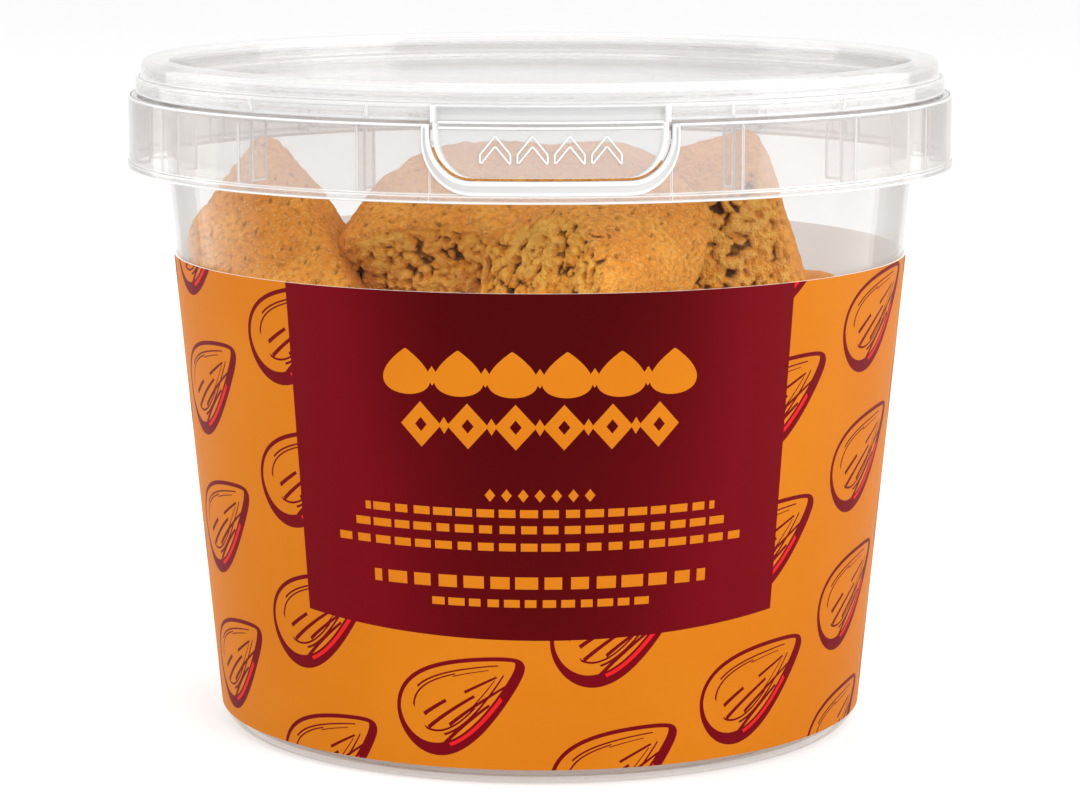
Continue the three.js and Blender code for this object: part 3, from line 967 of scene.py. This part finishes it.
SAG = 0.00042  # how the rows sag towards the panel's sides, by the square of the distance
SHAPE_ROWS = (  # how many, how far apart, how high, and the shape
    (6, 7.9, 64.4, drop(3.3, 3.5)),
    (5, 7.9, 63.9, diamond(1.0, 1.5)),
    (6, 7.1, 56.4, ring_of(diamond(3.1, 3.5), diamond(0.9, 1.1))),
    (5, 7.1, 56.4, diamond(0.8, 1.3)),
    (7, 2.5, 45.9, diamond(0.8, 1.0)),
)
DASH_ROWS = (  # half the row's length, how high, half a dash's height, how far apart, and the seed
    (27.5, 43.1, 0.62, 3.3, 11),
    (29.5, 40.6, 0.62, 3.3, 23),
    (33.0, 37.9, 0.62, 3.3, 37),
    (26.5, 32.3, 0.95, 4.1, 51),
    (17.5, 29.1, 0.60, 2.9, 67),
)


def ornament(finish, side_mm, up_mm):
    """The mask of all rows: at each point the greatest of their masks."""
    level = up_mm - side_mm * side_mm * SAG
    masks = [row(side_mm, level, *each) for each in SHAPE_ROWS]
    masks += [dashes(finish, side_mm, level, *each) for each in DASH_ROWS]
    total = masks[0]
    for mask in masks[1:]:
        total = total.most(mask)
    return total


print(len(SHAPE_ROWS) + len(DASH_ROWS), "rows of ornament")

# %% [markdown]
# The label is a satin film: a thin coat of lacquer over the ink gives it its soft shine. Fine paper
# mottle keeps the large fields from looking like plastic, and the ink is a little uneven. The dark
# panel carries painted shade: it is darkest in the middle of its top, and lighter towards its sides
# and lower down, as if lit from both sides.

# %% The label's finish


PAINTED_LIGHT_WIDTH, PAINTED_LIGHT_DOWN = 36.0, 0.006  # width of the panel's painted side light, and how much lighter it gets for a millimetre down


def printed_film():
    finish = Finish("printed film")
    wrap = finish.node("ShaderNodeUVMap", {"uv_map": "wrap"})
    across = finish.node("ShaderNodeSeparateXYZ", {}, {0: wrap})
    up = Term(finish, across.socket.node.outputs[1])
    angle = across * (2 * math.pi) - math.pi
    round_mm = across * ROUND_MM
    up_mm = up * (LABEL_TOP - LABEL_LOW)
    drawn, glow = kernels(round_mm, up_mm)
    side_mm = angle * wall_out(50)
    edge = up_mm + LABEL_LOW - PANEL_LOW - angle * angle * (PANEL_SAG / PANEL_HALF ** 2)
    panel = angle.size().below(PANEL_HALF) * edge.above(0)
    spot = finish.place()
    mottle = finish.noise(spot, 30.0, detail=2.0)
    ground = finish.mix(mottle, ORANGE, ORANGE_DEEP)
    # Painted shade on the panel: darkest in the middle of its top, lighter towards its sides and lower
    # down, as if lit from both sides.
    painted_light = (side_mm / PAINTED_LIGHT_WIDTH).size() ** 2.0 + (LABEL_TOP - LABEL_LOW - up_mm) * PAINTED_LIGHT_DOWN
    dark = finish.mix((painted_light + mottle * 0.2).ramp(0.1, 1.0), MAROON_IN_PAINTED_SHADE, MAROON)
    ink = finish.mix(glow, finish.mix(drawn, ground, MAROON), RED)
    front = finish.mix(ornament(finish, side_mm, up_mm + LABEL_LOW), dark, ground)
    shader = finish.principled(
        Base_Color=finish.mix(panel, ink, front),
        Roughness=0.42 + 0.1 * finish.noise(spot, 1.4),
        Specular_IOR_Level=0.03,
        Normal=finish.bump(finish.noise(spot, 0.9, detail=2.0), 0.012),
    )
    return finish.show(shader)


FILM_PALE, FILM_GREY = (0.42, 0.41, 0.405), (0.36, 0.352, 0.347)


def bare_film():
    """The label's inner side and its cut edges, which carry no print. Daylight comes a little through
    the film, which a faint glow of its own stands for."""
    finish = Finish("bare film")
    spot = finish.place()
    return finish.show(finish.principled(
        Base_Color=finish.mix(finish.noise(spot, 14.0), FILM_PALE, FILM_GREY),
        Roughness=0.5,
        Emission_Color=(1.0, 0.985, 0.975, 1.0),
        Emission_Strength=0.60,
    ))


print_film, inner_film = printed_film(), bare_film()
print("the print has", len(print_film.node_tree.nodes), "nodes")

# %% [markdown]
# The sleeve goes once round the tub and laps over itself at the back. Its radius grows a little just
# before the end, which lays the last stretch over the first. Rows go up the printed side, over the
# top edge, down the inner side and back under the lower edge.

# %% The label

LAP = math.radians(5)
LAP_RISE, LAP_THICK = 0.14, 0.12  # near the lap both ends are thinner


def sleeve():
    """Returns the points, the faces, a place on the print for each point and which faces are bare. The
    two ends of the sleeve are closed by caps, which join the printed side to the inner side."""
    angles = np.linspace(-np.pi - LAP, np.pi + LAP, 241)
    lift = LAP_RISE * np.clip((angles - (np.pi - 2.4 * LAP)) / (1.2 * LAP), 0, 1)
    rows = np.linspace(LABEL_LOW, LABEL_TOP, 22)
    heights = np.concatenate([rows, rows[::-1]])[:, None]
    side = np.repeat([1.0, 0.0], len(rows))[:, None]
    thick = np.where(np.abs(angles) > np.pi - 3 * LAP, LAP_THICK, LABEL)
    base = wall_out(heights) + LABEL_GAP + (LABEL - thick) * 0.5
    points = around(angles[None, :], base + lift[None, :] + side * thick[None, :], heights)
    share = np.broadcast_to((angles / (2 * np.pi) + 0.5)[None, :], points.shape[:2])
    height = np.broadcast_to((heights - LABEL_LOW) / (LABEL_TOP - LABEL_LOW), points.shape[:2])
    faces = grid_faces(*points.shape[:2], close_rows=True)
    bare = np.repeat(np.arange(len(heights)) >= len(rows) - 1, len(angles) - 1)
    here = np.arange(len(rows) - 1)
    there = 2 * len(rows) - 2 - here
    caps = np.stack([here, here + 1, there, there + 1], -1) * len(angles)
    last = caps[:, ::-1] + len(angles) - 1
    faces = np.vstack([faces, caps, last])
    bare = np.concatenate([bare, np.ones(2 * len(caps), bool)])
    return points, faces, np.stack([share, height], -1), bare


label_points, label_faces, label_wrap, label_bare = sleeve()
label = make_piece(
    "label_sleeve", label_points, label_faces, "printed_label", "label", print_film, uv=label_wrap,
    bend=False,
)
label.data.materials.append(inner_film)
label.data.polygons.foreach_set("material_index", label_bare.astype(np.int32))
label.data.set_sharp_from_angle(angle=math.radians(40))
print("label:", int(label_bare.sum()), "bare faces of", len(label_bare))

# %% [markdown]
# ## Random relief for baked dough
#
# Baked dough is lumpy, pitted and full of bubbles, and none of it repeats. Two random fields make
# that. The first is soft noise: the corners of a lattice of cubes draw a height each, and a point
# takes the mean of the eight around it, weighted by a smooth step. The second is bubbles: each cube
# holds one centre at random, and a point asks how far the nearest one is.
#
# The draws come from mixing whole numbers, not from a random generator, so the same point always gets
# the same height, however the mesh is cut up.

# %% Noise and bubbles

MASK = 0xFFFFFFFF
SMALLEST, SPREAD = 0.35, 0.4  # the least radius of a bubble, and how much it may be larger, in cubes
NO_BUBBLE = 9.0  # the distance where none is near


def lattice_draw(cell, seed):
    """A number from 0 to 1 for each lattice corner: its three whole numbers are multiplied by large
    primes, mixed together and cut to 24 bits."""
    x, y, z = cell[..., 0], cell[..., 1], cell[..., 2]
    mixed = (x * 73856093 ^ y * 19349663 ^ z * 83492791 ^ (seed * 39916801)) & MASK
    mixed = ((mixed ^ (mixed >> 15)) * 2246822519) & MASK
    mixed = ((mixed ^ (mixed >> 13)) * 3266489917) & MASK
    return ((mixed ^ (mixed >> 16)) & 0xFFFFFF) / 0x1000000


def soft_noise(points, size, seed):
    """Smooth random heights from -1 to 1, whose lumps are about this many millimetres wide."""
    spot = points / size
    cell = np.floor(spot).astype(np.int64)
    step = spot - cell
    step = step * step * (3 - 2 * step)
    total = np.zeros(len(points))
    for corner in itertools.product((0, 1), repeat=3):
        weight = np.where(corner, step, 1 - step).prod(axis=1)
        total += weight * lattice_draw(cell + np.array(corner), seed)
    return 2 * total - 1


def layered_noise(points, size, seed, layers=3, rough=0.5):
    """Soft noise with finer and fainter noise added."""
    total, reach = np.zeros(len(points)), 0.0
    for layer in range(layers):
        share = rough ** layer
        total += share * soft_noise(points, size / 2 ** layer, seed + layer)
        reach += share
    return total / reach


def bubbles(points, size, seed, share=1.0):
    """Distance to the nearest bubble's middle, as a share of that bubble's radius. Only some of the
    cubes hold a bubble, and each has a radius of its own."""
    spot = points / size
    cell = np.floor(spot).astype(np.int64)
    nearest = np.full(len(points), NO_BUBBLE)
    for step in itertools.product((-1, 0, 1), repeat=3):
        home = cell + np.array(step)
        middle = home + np.stack([lattice_draw(home, seed + k) for k in range(3)], -1)
        radius = SMALLEST + SPREAD * lattice_draw(home, seed + 3)
        there = lattice_draw(home, seed + 4) < share
        far = np.linalg.norm(spot - middle, axis=1) / radius
        nearest = np.where(there & (far < nearest), far, nearest)
    return nearest


def smooth(low, high, value):
    """0 below low, 1 above high, and a smooth step between."""
    t = np.clip((value - low) / (high - low), 0, 1)
    return t * t * (3 - 2 * t)


sample = soft_noise(np.random.default_rng(1).uniform(0, 50, (1000, 3)), 4.0, 7)
print(f"noise runs from {sample.min():.2f} to {sample.max():.2f}")

# %% [markdown]
# ## A biscotto
#
# Biscotti are cut from a flat baked log: a slice has a domed top crust, a flat bottom crust and two
# cut faces of open crumb, framed by the thin edge of the crust. The form is the rounded block again,
# with a top that falls towards the ends. Each slice has a middle, the direction of its length and of
# its dome, a size and a slant of the cut.
#
# The relief is added along the surface's own direction: fine grain, pin holes and a few cracks on the
# crust; lumps, crevices and burst bubbles on the crumb. Each point also remembers how much crumb it is
# and how deep it lies, for the colours: the deep places get painted shade, and the tops of the crumb's
# lumps painted light.

# %% Where the slices lie

SQUARENESS, DOME_FALL = 8, 0.22
CLEAR = 0.45  # the heap keeps off the plastic by this
CORNER, CORNER_IN = 5, 0.7  # up to this height it keeps off more, by so much for a millimetre
HEAP_FLOOR, HEAP_TOP = 2.4, 101.5


def laid(name, at, along, dome, size, slant, fall=DOME_FALL, step=0.5, heel=False):
    """One slice. fall is how much lower it is at its ends, step is the mesh's fineness, and heel says
    that it is an end of the log, which has crust all over."""
    return {"name": name, "at": at, "along": along, "dome": dome, "size": size, "slant": slant,
            "fall": fall, "step": step, "heel": heel}


FINE = 0.28  # the mesh's fineness on the slices that show most

TOP_SLICES = [
    laid("front_left", (-36.1, -16.9, 65.9), (0.44, -0.58, -0.69), (0.32, 0.82, -0.48), (50, 23, 28),
         0.46, step=FINE, heel=True),
    laid("centre_left", (-8.9, -20.6, 78.0), (0.94, -0.32, -0.08), (-0.09, -0.44, 0.89), (45, 22, 26),
         0.00, 0.30, step=FINE),
    laid("centre", (8.2, -38.0, 76.6), (-0.07, -0.50, -0.87), (0.70, -0.63, 0.34), (30, 24, 29),
         -0.65, 0.38, step=FINE),
    laid("right", (32.4, -16.5, 67.3), (-0.28, 0.08, 0.96), (-0.96, 0.04, -0.28), (55, 22, 22),
         0.18, step=FINE),
    laid("back", (-3.0, 31.0, 77.0), (0.97, 0.10, -0.10), (0.00, -0.30, 0.95), (46, 22, 24), 0.10),
    laid("middle", (4.0, -2.0, 79.6), (0.85, 0.45, 0.10), (0.10, -0.20, 0.95), (44, 22, 24), 0.20),
    laid("inner_left", (-19.0, 8.0, 65.0), (0.35, 0.92, 0.10), (-0.10, -0.10, 1.00), (46, 21, 22),
         0.15),
    laid("inner_right", (24.0, 10.0, 65.0), (-0.35, 0.92, -0.10), (0.10, 0.10, 1.00), (46, 21, 22),
         0.15),
]
MIDDLE_SLICES = [
    laid("standing", (0, 0, 29), (0.05, 0.03, 1), (1, 0.2, 0), (53, 22, 23), 0.12, step=1.5),
    laid("upright", (1, -1, 66), (0.90, 0.30, 0.05), (0, 0.1, 1), (44, 22, 22), 0.12, step=1.5),
]
LAYERS, PER_LAYER, LAYER_PITCH, FIRST_LAYER, FROM_WALL = 3, 4, 23, 14.2, 18.5


def draw(i, k):
    """An even draw from 0 to 1, the same every time for the same two numbers."""
    v = math.sin(12.9898 * (i + 1) + 78.233 * (k + 1)) * 43758.5453
    return v - math.floor(v)


def ring_slices():
    """The slices below the ones that show lie in rings of four, each ring turned by half a step."""
    slices = []
    for i, (layer, j) in enumerate(itertools.product(range(LAYERS), range(PER_LAYER))):
        z = FIRST_LAYER + LAYER_PITCH * layer
        r = wall_in(z) - FROM_WALL
        yaw = math.radians(90 * j + 45 * layer + 14 * (draw(i, 0) - 0.5))
        lean = 0.3 * (draw(i, 3) - 0.5)
        slices.append(laid(
            f"ring_{layer + 1}_{j + 1}",
            (r * math.cos(yaw), r * math.sin(yaw), z + 1.6 * (draw(i, 2) - 0.5)),
            (-math.sin(yaw), math.cos(yaw), 0.16 * (draw(i, 1) - 0.5)),
            (lean * math.cos(yaw), lean * math.sin(yaw), 1),
            (50, 21 + 2 * draw(i, 4), 24), 0.12, step=1.1,
        ))
    return slices


SLICES = TOP_SLICES + MIDDLE_SLICES + ring_slices()
print(len(SLICES), "slices")

# %% The relief of crust and crumb

# Width and height of each layer of relief, in millimetres.
SWELL, BLISTER, GRAIN, PIT, CRACK = (9.0, 0.42), (2.3, 0.13), (1.1, 0.30), (1.1, 0.32), (5.0, 0.9)
CHUNK, LUMP, KNOB, GRIT, HOLE = (6.0, 0.9), (1.55, 1.15), (0.8, 0.5), (0.5, 0.16), (1.7, 1.2)
SUNK = 1.5  # how far the crumb lies below the crust's rim
RIM, RIM_WOBBLE = 0.85, 0.035  # where the rim starts, as a share of the slice's half size
CUT = 0.6  # a cut face starts at this share of the slice's half thickness
LUMP_REACH = 1.5  # a lump is wider than the bubble it stands on by this


def crumb_share(hat, heel, seed, size):
    """1 on a cut face and 0 on the crust. hat is a point's place on the block, from -1 to 1 each way.
    The crust leaves a thin, uneven rim round each cut face."""
    if heel:
        return np.zeros(len(hat))
    reach = (np.abs(hat[:, 0]) ** SQUARENESS + np.abs(hat[:, 2]) ** SQUARENESS) ** (1 / SQUARENESS)
    wobble = RIM_WOBBLE * layered_noise(hat * np.array(size) / 2, 3.0, seed + 40)
    return smooth(RIM + 0.02, RIM - 0.02, reach + wobble) * (np.abs(hat[:, 1]) > CUT)


def crust_relief(spot, seed):
    """Height of the crust and how deep a point lies in a pit or crack, from 0 to 1: broad swells,
    blisters that are the flattened tops of bubbles, grain, pin holes and a few short splits. A split
    runs where a soft noise is near zero, and only where a second, broader noise is high."""
    swell = SWELL[1] * layered_noise(spot, SWELL[0], seed)
    blisters = BLISTER[1] * smooth(1.0, 0.55, bubbles(spot, BLISTER[0], seed + 5, share=0.5))
    grain = GRAIN[1] * layered_noise(spot, GRAIN[0], seed + 8, layers=2, rough=0.8)
    bent = spot + 0.35 * np.stack([soft_noise(spot, 0.9, seed + 70 + k) for k in range(3)], -1)
    pits = smooth(1.0, 0.3, bubbles(bent, PIT[0], seed + 12, share=0.22))
    split = np.abs(soft_noise(bent, CRACK[0], seed + 20) + 0.35 * soft_noise(bent, 1.4, seed + 21))
    broken = smooth(0.5, 0.75, soft_noise(spot, 8.0, seed + 26))
    cracks = smooth(0.14, 0.0, split) * broken
    deep = np.maximum(np.maximum(0.65 * pits, cracks), smooth(0.0, -0.2, grain) * 0.3)
    return swell + blisters + grain - PIT[1] * pits - CRACK[1] * cracks, deep


def lumps_of(spot, size, seed):
    """Rounded lumps packed side by side: a ball stands on each bubble's middle, so the height is the
    root of one minus the square of the distance."""
    far = bubbles(spot, size, seed)
    return np.sqrt(np.clip(1 - (far / LUMP_REACH) ** 2, 0, 1))


def crumb_relief(spot, seed):
    """Height of the crumb and how deep a point lies in a crevice or bubble, from 0 to 1: lumps of
    three sizes and grit, less burst bubbles. The place is bent by noise first, so that no lump or
    bubble is quite round."""
    warp = np.stack([soft_noise(spot, 2.2, seed + 60 + k) for k in range(3)], -1)
    fine_warp = np.stack([soft_noise(spot, 0.8, seed + 64 + k) for k in range(3)], -1)
    bent = spot + 0.6 * warp + 0.25 * fine_warp
    chunks = layered_noise(bent, CHUNK[0], seed + 30, layers=2)
    lumps = lumps_of(bent, LUMP[0], seed + 33)
    knobs = lumps_of(bent, KNOB[0], seed + 34)
    grit = soft_noise(bent, GRIT[0], seed + 36)
    holes = smooth(1.0, 0.2, bubbles(bent, HOLE[0], seed + 37, share=0.24))
    raised = CHUNK[1] * chunks + LUMP[1] * lumps + KNOB[1] * knobs + GRIT[1] * grit
    deep = 0.6 * holes + 0.8 * smooth(0.8, 0.2, lumps) + 0.4 * smooth(0.8, 0.2, knobs) - 0.35 * chunks
    return raised - HOLE[1] * holes - SUNK, np.clip(deep, 0, 1)


# %% A slice's surface

OTHER_DOUGH = 300.0  # each slice is cut from its own part of the random fields


def slice_surface(one, seed):
    """The rounded block with its relief, turned and set in place, then kept off the plastic. Returns
    the points, the faces, the share of crumb and the depth."""
    size = np.array(one["size"], float)
    cube, faces = cube_grid(np.maximum(4, np.round(size / one["step"])).astype(int))
    hat = drawn_in(cube, SQUARENESS)
    crumb = crumb_share(hat, one["heel"], seed, size)
    outward = np.sign(hat) * np.abs(hat) ** (SQUARENESS - 1) / size
    outward /= np.linalg.norm(outward, axis=1, keepdims=True)
    height = (hat[:, 2] + 1) * (1 - one["fall"] * hat[:, 0] ** 2) - 1
    spot = np.stack([hat[:, 0], hat[:, 1], height], -1) * size / 2
    inner = spot + OTHER_DOUGH * seed
    crust_height, crust_deep = crust_relief(inner, seed)
    height, deep = crust_height, crust_deep
    if crumb.any():
        cut = crumb > 0
        crumb_height, crumb_deep = crumb_relief(inner[cut], seed)
        height[cut] += crumb[cut] * (crumb_height - height[cut])
        deep[cut] += crumb[cut] * (crumb_deep - deep[cut])
    spot = spot + outward * height[:, None]
    spot[:, 0] += one["slant"] * spot[:, 1]
    x = np.array(one["along"], float)
    x /= np.linalg.norm(x)
    z = np.array(one["dome"], float)
    z -= z @ x * x
    z /= np.linalg.norm(z)
    points = spot @ np.stack([x, np.cross(z, x), z]) + np.array(one["at"])
    points[:, 2] = np.clip(points[:, 2], HEAP_FLOOR, HEAP_TOP)
    reach = np.hypot(points[:, 0], points[:, 1])
    lining = wall_in(points[:, 2]) - CLEAR - CORNER_IN * np.maximum(0, CORNER - points[:, 2])
    points[:, :2] *= np.minimum(1, lining / reach)[:, None]
    return points, faces, crumb, deep


# %% [markdown]
# ## The baked finish
#
# The crust is golden tan and a little uneven. Its pale specks are painted glints, and it is darker in
# its pits and cracks, which is painted shade. The crumb is yellower in places, lighter on the tops of
# its lumps, which is painted light, and goes to a deep brown in its bubbles, painted shade where light
# gets lost. Both colours hang on the numbers that each point remembers, with fine noise on top, and a
# fine bump gives the sandy grain that is too small for the mesh.

# %% The baked finish


# Linear colours of the crust, then of the crumb. Among them are painted glints, painted shade for pits,
# cracks and hollows, and painted light for the tops of the lumps.
TAN, GOLD, TOASTED = (0.90, 0.325, 0.032), (1.0, 0.44, 0.054), (0.70, 0.23, 0.022)
BROWNED, PAINTED_GLINT, PAINTED_PIT_SHADE = (0.58, 0.18, 0.017), (1.0, 0.60, 0.19), (0.22, 0.065, 0.008)
CREAM, HONEY, AMBER = (1.0, 0.49, 0.070), (0.90, 0.33, 0.018), (0.84, 0.27, 0.016)
PAINTED_HOLLOW_SHADE, PAINTED_LUMP_LIGHT = (0.16, 0.042, 0.003), (1.0, 0.57, 0.11)


def baked():
    finish = Finish("baked dough")
    spot = finish.place()
    crumb, deep = finish.attribute("crumb"), finish.attribute("deep")
    broad = finish.noise(spot, 12.0, detail=2.0)
    patch = finish.noise(spot, 3.2, detail=3.0)
    fine = finish.noise(spot, 0.8, detail=4.0, rough=0.65)
    speck = finish.noise(spot, 0.4, detail=2.0)
    crust = finish.mix(broad.ramp(0.35, 0.65), TAN, GOLD)
    crust = finish.mix(patch.ramp(0.45, 0.72) * 0.4, crust, TOASTED)
    crust = finish.mix(fine.ramp(0.47, 0.62) * 0.7, crust, BROWNED)
    # Painted glints: pale specks on the crust where shiny grains would catch the light.
    crust = finish.mix(speck.ramp(0.55, 0.65) * 0.7, crust, PAINTED_GLINT)
    # Painted shade in the crust's pits and cracks, the deeper the darker.
    crust = finish.mix(deep.ramp(0.1, 0.95), crust, PAINTED_PIT_SHADE)
    flesh = finish.mix(fine.ramp(0.35, 0.65), CREAM, HONEY)
    flesh = finish.mix(patch.ramp(0.45, 0.7) * 0.6, flesh, AMBER)
    # Painted shade in the crumb's bubbles and crevices, the deeper the darker.
    flesh = finish.mix(deep.ramp(0.35, 0.95), flesh, PAINTED_HOLLOW_SHADE)
    # Painted light on the tops of the crumb's lumps.
    flesh = finish.mix(deep.ramp(0.25, 0.0) * 0.7, flesh, PAINTED_LUMP_LIGHT)
    shader = finish.principled(
        Base_Color=finish.mix(crumb, crust, flesh),
        Roughness=0.62 + 0.25 * crumb,
        Specular_IOR_Level=0.08,
        Normal=finish.bump(speck * 0.7 + fine, 0.7),
    )
    return finish.show(shader)


dough = baked()
print("baked finish:", len(dough.node_tree.nodes), "nodes")

# %% The biscotti

for seed, one in enumerate(SLICES, start=1):
    points, faces, crumb, deep = slice_surface(one, seed)
    make_piece(
        "biscotto_" + one["name"], points, faces, "baked_biscotti", "biscotti", dough,
        attributes={"crumb": crumb, "deep": deep}, bend=False,
    )

# %% [markdown]
# ## Floor, light and camera
#
# A wide pale table and soft lamps, as in a product studio. The table glows a little by itself, so it
# stays white and the shadow on it faint. Two strong boxes light the biscotti and the label from the
# left and from the front right. No glossy surface sees them, or they would lie as white patches on the
# plastic. Two weak boxes and two tall lamps that stand on the table give the plastic its upright
# streaks, and a box above lights the heap through the lid. The sky is brighter straight up and behind
# the tub, so what stands upright mirrors a greyer part of it than the lid does.

# %% The floor

FLOOR_HALF = 8  # metres


def pale_floor():
    """A square far larger than the view, grey in its own colour and glowing up to white."""
    mesh = bpy.data.meshes.new("floor")
    corners = [(x * FLOOR_HALF, y * FLOOR_HALF, 0) for x, y in ((-1, -1), (1, -1), (1, 1), (-1, 1))]
    mesh.from_pydata(corners, [], [(0, 1, 2, 3)])
    floor = bpy.data.objects.new("floor", mesh)
    bpy.context.collection.objects.link(floor)
    finish = Finish("pale floor")
    mesh.materials.append(finish.show(finish.principled(
        Base_Color=(0.57, 0.57, 0.57, 1), Roughness=0.7, Specular_IOR_Level=0.0,
        Emission_Color=(1, 1, 1, 1), Emission_Strength=0.43,
    )))


pale_floor()

# %% Lamps and sky

AIM_UP = 0.055  # the boxes look at the middle of the tub, in metres
STREAK_HIGH = 0.3


def lamp_of(name, size, power):
    """A rectangular area lamp."""
    lamp = bpy.data.lights.new(name, "AREA")
    lamp.shape, lamp.energy = "RECTANGLE", power
    lamp.size, lamp.size_y = size
    holder = bpy.data.objects.new(name, lamp)
    bpy.context.collection.objects.link(holder)
    return holder


def soft_box(name, azimuth, height, distance, size, power, mirrored=True):
    """An area lamp that looks at the middle of the tub from an angle round it."""
    holder = lamp_of(name, size, power)
    a = math.radians(azimuth)
    place = np.array([distance * math.sin(a), -distance * math.cos(a), height])
    aim = np.array([0, 0, AIM_UP]) - place
    tilt = math.acos(-aim[2] / np.linalg.norm(aim))
    holder.location = place
    holder.rotation_euler = (tilt, 0, math.atan2(aim[1], aim[0]) - math.pi / 2)
    holder.visible_glossy = mirrored


def streak(name, x, nearest, farthest, power):
    """A tall lamp beside the tub that stands on the floor. Only glossy surfaces see it: it draws an
    upright streak on the plastic."""
    holder = lamp_of(name, (farthest - nearest, STREAK_HIGH), power)
    holder.location = (x, (nearest + farthest) / 2, STREAK_HIGH / 2)
    holder.rotation_euler = (math.pi / 2, 0, math.copysign(math.pi / 2, x))
    holder.visible_diffuse = holder.visible_camera = holder.visible_transmission = False


soft_box("left box", -100, 0.30, 0.9, (0.5, 0.6), 0.6)
soft_box("right box", 70, 0.45, 0.9, (0.5, 0.6), 1.2)
soft_box("front left box", -70, 0.55, 1.2, (0.8, 0.5), 6.8, mirrored=False)
soft_box("front right box", 30, 0.60, 1.2, (0.8, 0.5), 12.0, mirrored=False)
soft_box("top box", 160, 0.9, 0.3, (0.6, 0.6), 3.0)
streak("right streak", 0.21, -0.149, 0.10, 0.34)
streak("left streak", -0.24, -0.015, 0.15, 0.17)


def sky():
    """A plain pale sky that is brighter towards the top, and behind the tub brighter all the way
    down: two gradients, one along Z and one along Y, are added up to its strength."""
    world = bpy.data.worlds.new("studio")
    world.use_nodes = True
    tree = world.node_tree
    tree.nodes.clear()
    way = tree.nodes.new("ShaderNodeTexCoord")
    parts = tree.nodes.new("ShaderNodeSeparateXYZ")
    both = tree.nodes.new("ShaderNodeMath")
    light = tree.nodes.new("ShaderNodeBackground")
    output = tree.nodes.new("ShaderNodeOutputWorld")
    tree.links.new(way.outputs["Generated"], parts.inputs[0])
    for slot, (axis, limits) in enumerate([("Z", (0.0, 0.9, 0.80, 1.20)), ("Y", (0.3, 0.9, 0.0, 0.42))]):
        level = tree.nodes.new("ShaderNodeMapRange")
        for key, value in zip(("From Min", "From Max", "To Min", "To Max"), limits):
            level.inputs[key].default_value = value
        tree.links.new(parts.outputs[axis], level.inputs["Value"])
        tree.links.new(level.outputs[0], both.inputs[slot])
    tree.links.new(both.outputs[0], light.inputs["Strength"])
    tree.links.new(light.outputs[0], output.inputs["Surface"])
    bpy.context.scene.world = world


sky()
bpy.context.scene.view_settings.view_transform = "Standard"
bpy.context.scene.cycles.transparent_max_bounces = 48
print("lamps:", len(bpy.data.lights))

# %% The camera

CAMERA_BACK, CAMERA_UP, CAMERA_DIP, LENS = 0.6128, 0.1481, 9.03, 126.1  # metres, degrees, millimetres

lens = bpy.data.cameras.new("camera")
lens.lens, lens.sensor_width = LENS, 36
lens.clip_start, lens.clip_end = 0.05, 30
camera = bpy.data.objects.new("camera", lens)
bpy.context.collection.objects.link(camera)
camera.location = (0, -CAMERA_BACK, CAMERA_UP)
camera.rotation_euler = (math.radians(90 - CAMERA_DIP), 0, 0)
bpy.context.scene.camera = camera
print("camera", CAMERA_BACK, "m in front and", CAMERA_UP, "m up")
